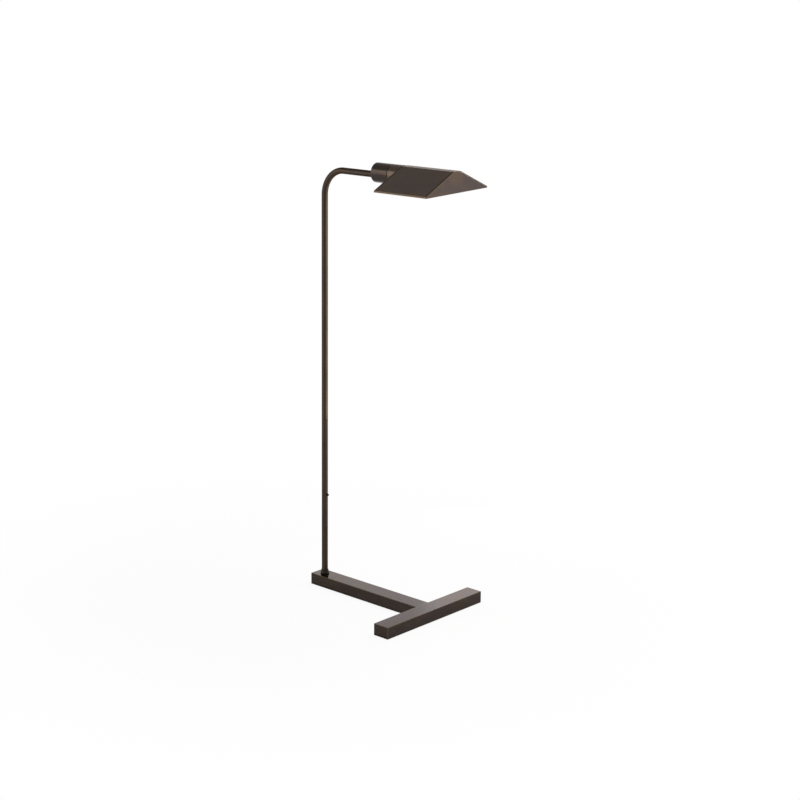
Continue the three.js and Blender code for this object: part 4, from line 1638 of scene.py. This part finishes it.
# ------------------------------------------------------------------ studio
@dataclass(frozen=True)
class Softbox:
    """A soft rectangular light."""

    name: str
    place: Point
    aim: Point
    size: tuple[float, float]
    power: float
    colour: Colour = (1, 1, 1)

    def build(self) -> None:
        """Hangs the light, out of the camera's sight."""
        data = bpy.data.lights.new(self.name, "AREA")
        data.shape, data.energy, data.color = "RECTANGLE", self.power, self.colour
        data.size, data.size_y = self.size
        light = shown(self.name, data)
        light.location = self.place
        light.rotation_euler = (Vector(self.aim) - Vector(self.place)).to_track_quat("-Z", "Y").to_euler()
        light.visible_camera = False


@dataclass
class Studio:
    """A pale floor, a soft white surround, softboxes and the camera."""

    camera_place: Point = (2.6237, -2.6730, 1.3614)
    aim: Point = (0.1237, 0.1111, 0.4335)
    roll: float = 0.6
    lens: float = 78.435
    floor_radius: float = 9.0
    shaded: tuple[float, float] = (0.80, 0.98)  # how nearly a direction faces the camera's side
    softboxes: tuple[Softbox, ...] = (
        Softbox("key", (0.9, 0.8, 2.8), (0.1, 0, 0.1), (1.4, 1.4), 46, (1, 0.98, 0.96)),
        Softbox("wide_glow", (-0.50, 1.17, 0.38), (0.42, 0.2, 0.1), (1.7, 0.7), 1.7),
        Softbox("glow", (0.07, 0.80, 0.27), (0.35, 0.55, 0.15), (0.7, 0.5), 0.55),
        Softbox("rim", (1.39, 0.80, 0.6), (0, 0, 0.6), (0.34, 1.1), 0.13, (1, 0.85, 0.58)),
        Softbox("side_glow", (-2.0, -2.1, 1.95), (0.2, 0, 0.95), (2.2, 1.0), 5.4, (1, 0.98, 0.95)),
        Softbox("low_glow", (-1.27, -2.72, 0.8), (0, 0, 0.8), (1.6, 0.8), 3.2, (1, 0.97, 0.93)),
    )

    def camera(self) -> None:
        """Sets up the camera."""
        data = bpy.data.cameras.new("camera")
        data.lens, data.sensor_width = self.lens, 36
        look = Vector(self.aim) - Vector(self.camera_place)
        turn = look.to_track_quat("-Z", "Y").to_matrix() @ Matrix.Rotation(math.radians(self.roll), 3, "Z")
        camera = shown("camera", data)
        camera.matrix_world = Matrix.Translation(self.camera_place) @ turn.to_4x4()
        bpy.context.scene.camera = camera

    def open_side(self, graph: ShaderGraph, way: Socket) -> Socket:
        """A light level that falls where a direction faces the camera's side.

        Args:
            graph: The nodes of the world or the floor.
            way: The direction from the lamp.

        Returns:
            1 in most directions, and less towards the camera's side.
        """
        level = graph.vector("NORMALIZE", graph.vector("MULTIPLY", way, (1, 1, 0)))
        near = Vector((*self.camera_place[:2], 0)).normalized()
        facing = graph.add("ShaderNodeVectorMath", {0: level, 1: near}, operation="DOT_PRODUCT")
        return graph.remap(facing.outputs["Value"], *self.shaded, (1.0, 0.4))

    def seen(self, graph: ShaderGraph) -> tuple[Socket, Socket]:
        """Which rays meet the white background: the camera's, and those that metal and glass send on."""
        ray = graph.add("ShaderNodeLightPath").outputs
        return ray["Is Camera Ray"], graph.math("MAXIMUM", ray["Is Glossy Ray"], ray["Is Transmission Ray"])

    def surround(self) -> None:
        """A white backdrop that dims overhead, with the camera's side in shade."""
        world = bpy.data.worlds.new("surround")
        bpy.context.scene.world = world
        graph = ShaderGraph(world)
        way = graph.add("ShaderNodeTexCoord").outputs["Generated"]
        height = graph.add("ShaderNodeSeparateXYZ", {0: way}).outputs["Z"]
        overhead = graph.remap(height, 0.17, 0.57, (1.0, 0.32))
        strength = graph.math("MULTIPLY", overhead, self.open_side(graph, way))
        camera, _ = self.seen(graph)
        inputs = {"Color": (1, 1, 1, 1), "Strength": graph.math("MAXIMUM", strength, camera)}
        graph.add("ShaderNodeOutputWorld", {0: graph.get("ShaderNodeBackground", inputs)})

    def floor(self) -> None:
        """The pale floor, which keeps the lamp's soft shadow."""
        bm = bmesh.new()
        bmesh.ops.create_circle(bm, cap_ends=True, segments=96, radius=self.floor_radius)
        floor = solid_of("floor", bm)
        material = bpy.data.materials.new("pale_floor")
        graph = ShaderGraph(material)
        place = graph.place()
        camera, mirrored = self.seen(graph)
        distance = graph.add("ShaderNodeVectorMath", {0: place}, operation="LENGTH").outputs["Value"]
        direct = graph.math("MULTIPLY", camera, graph.remap(distance, 0.3, 1.1, (0.92, 1.0)))
        in_metal = graph.math("MULTIPLY", mirrored, graph.remap(distance, 0.35, 1.6, (0.1, 1.0)))
        pale = graph.mix(mirrored, (0.92, 0.92, 0.92), (0.78, 0.78, 0.78))
        strength = graph.math("MAXIMUM", camera, self.open_side(graph, place))
        mixed = graph.get("ShaderNodeMixShader", {
            0: graph.math("MAXIMUM", direct, in_metal),
            1: graph.get("ShaderNodeBsdfDiffuse", {"Color": pale}),
            2: graph.get("ShaderNodeEmission", {"Strength": strength}),
        })
        graph.add("ShaderNodeOutputMaterial", {0: mixed})
        floor.data.materials.append(material)

    def build(self) -> None:
        """Sets the whole studio up."""
        self.camera()
        self.surround()
        self.floor()
        for softbox in self.softboxes:
            softbox.build()
        bpy.context.scene.view_settings.view_transform = "Standard"
        log.info("studio: %d softboxes", len(self.softboxes))


def main() -> None:
    """Builds the studio and the lamp, from its base to its bulb."""
    logging.basicConfig(level=logging.INFO, format="%(name)s: %(message)s")
    Studio().build()
    fitter = Fitter()
    cylinder = HeadCylinder(fitter)
    assemblies = (
        BaseBars(fitter), FootCollar(fitter), PoleTube(fitter), PushSwitch(fitter), cylinder,
        TroughShade(fitter, cylinder.axis), Lampholder(fitter, cylinder.axis),
    )
    for assembly in assemblies:
        assembly.build()
    fitter.dress_nodes({part["node"]: part["material_slot"] for part in frame["record"]["subparts"]})
    log.info("sizes written")


if __name__ == "__main__":
    main()
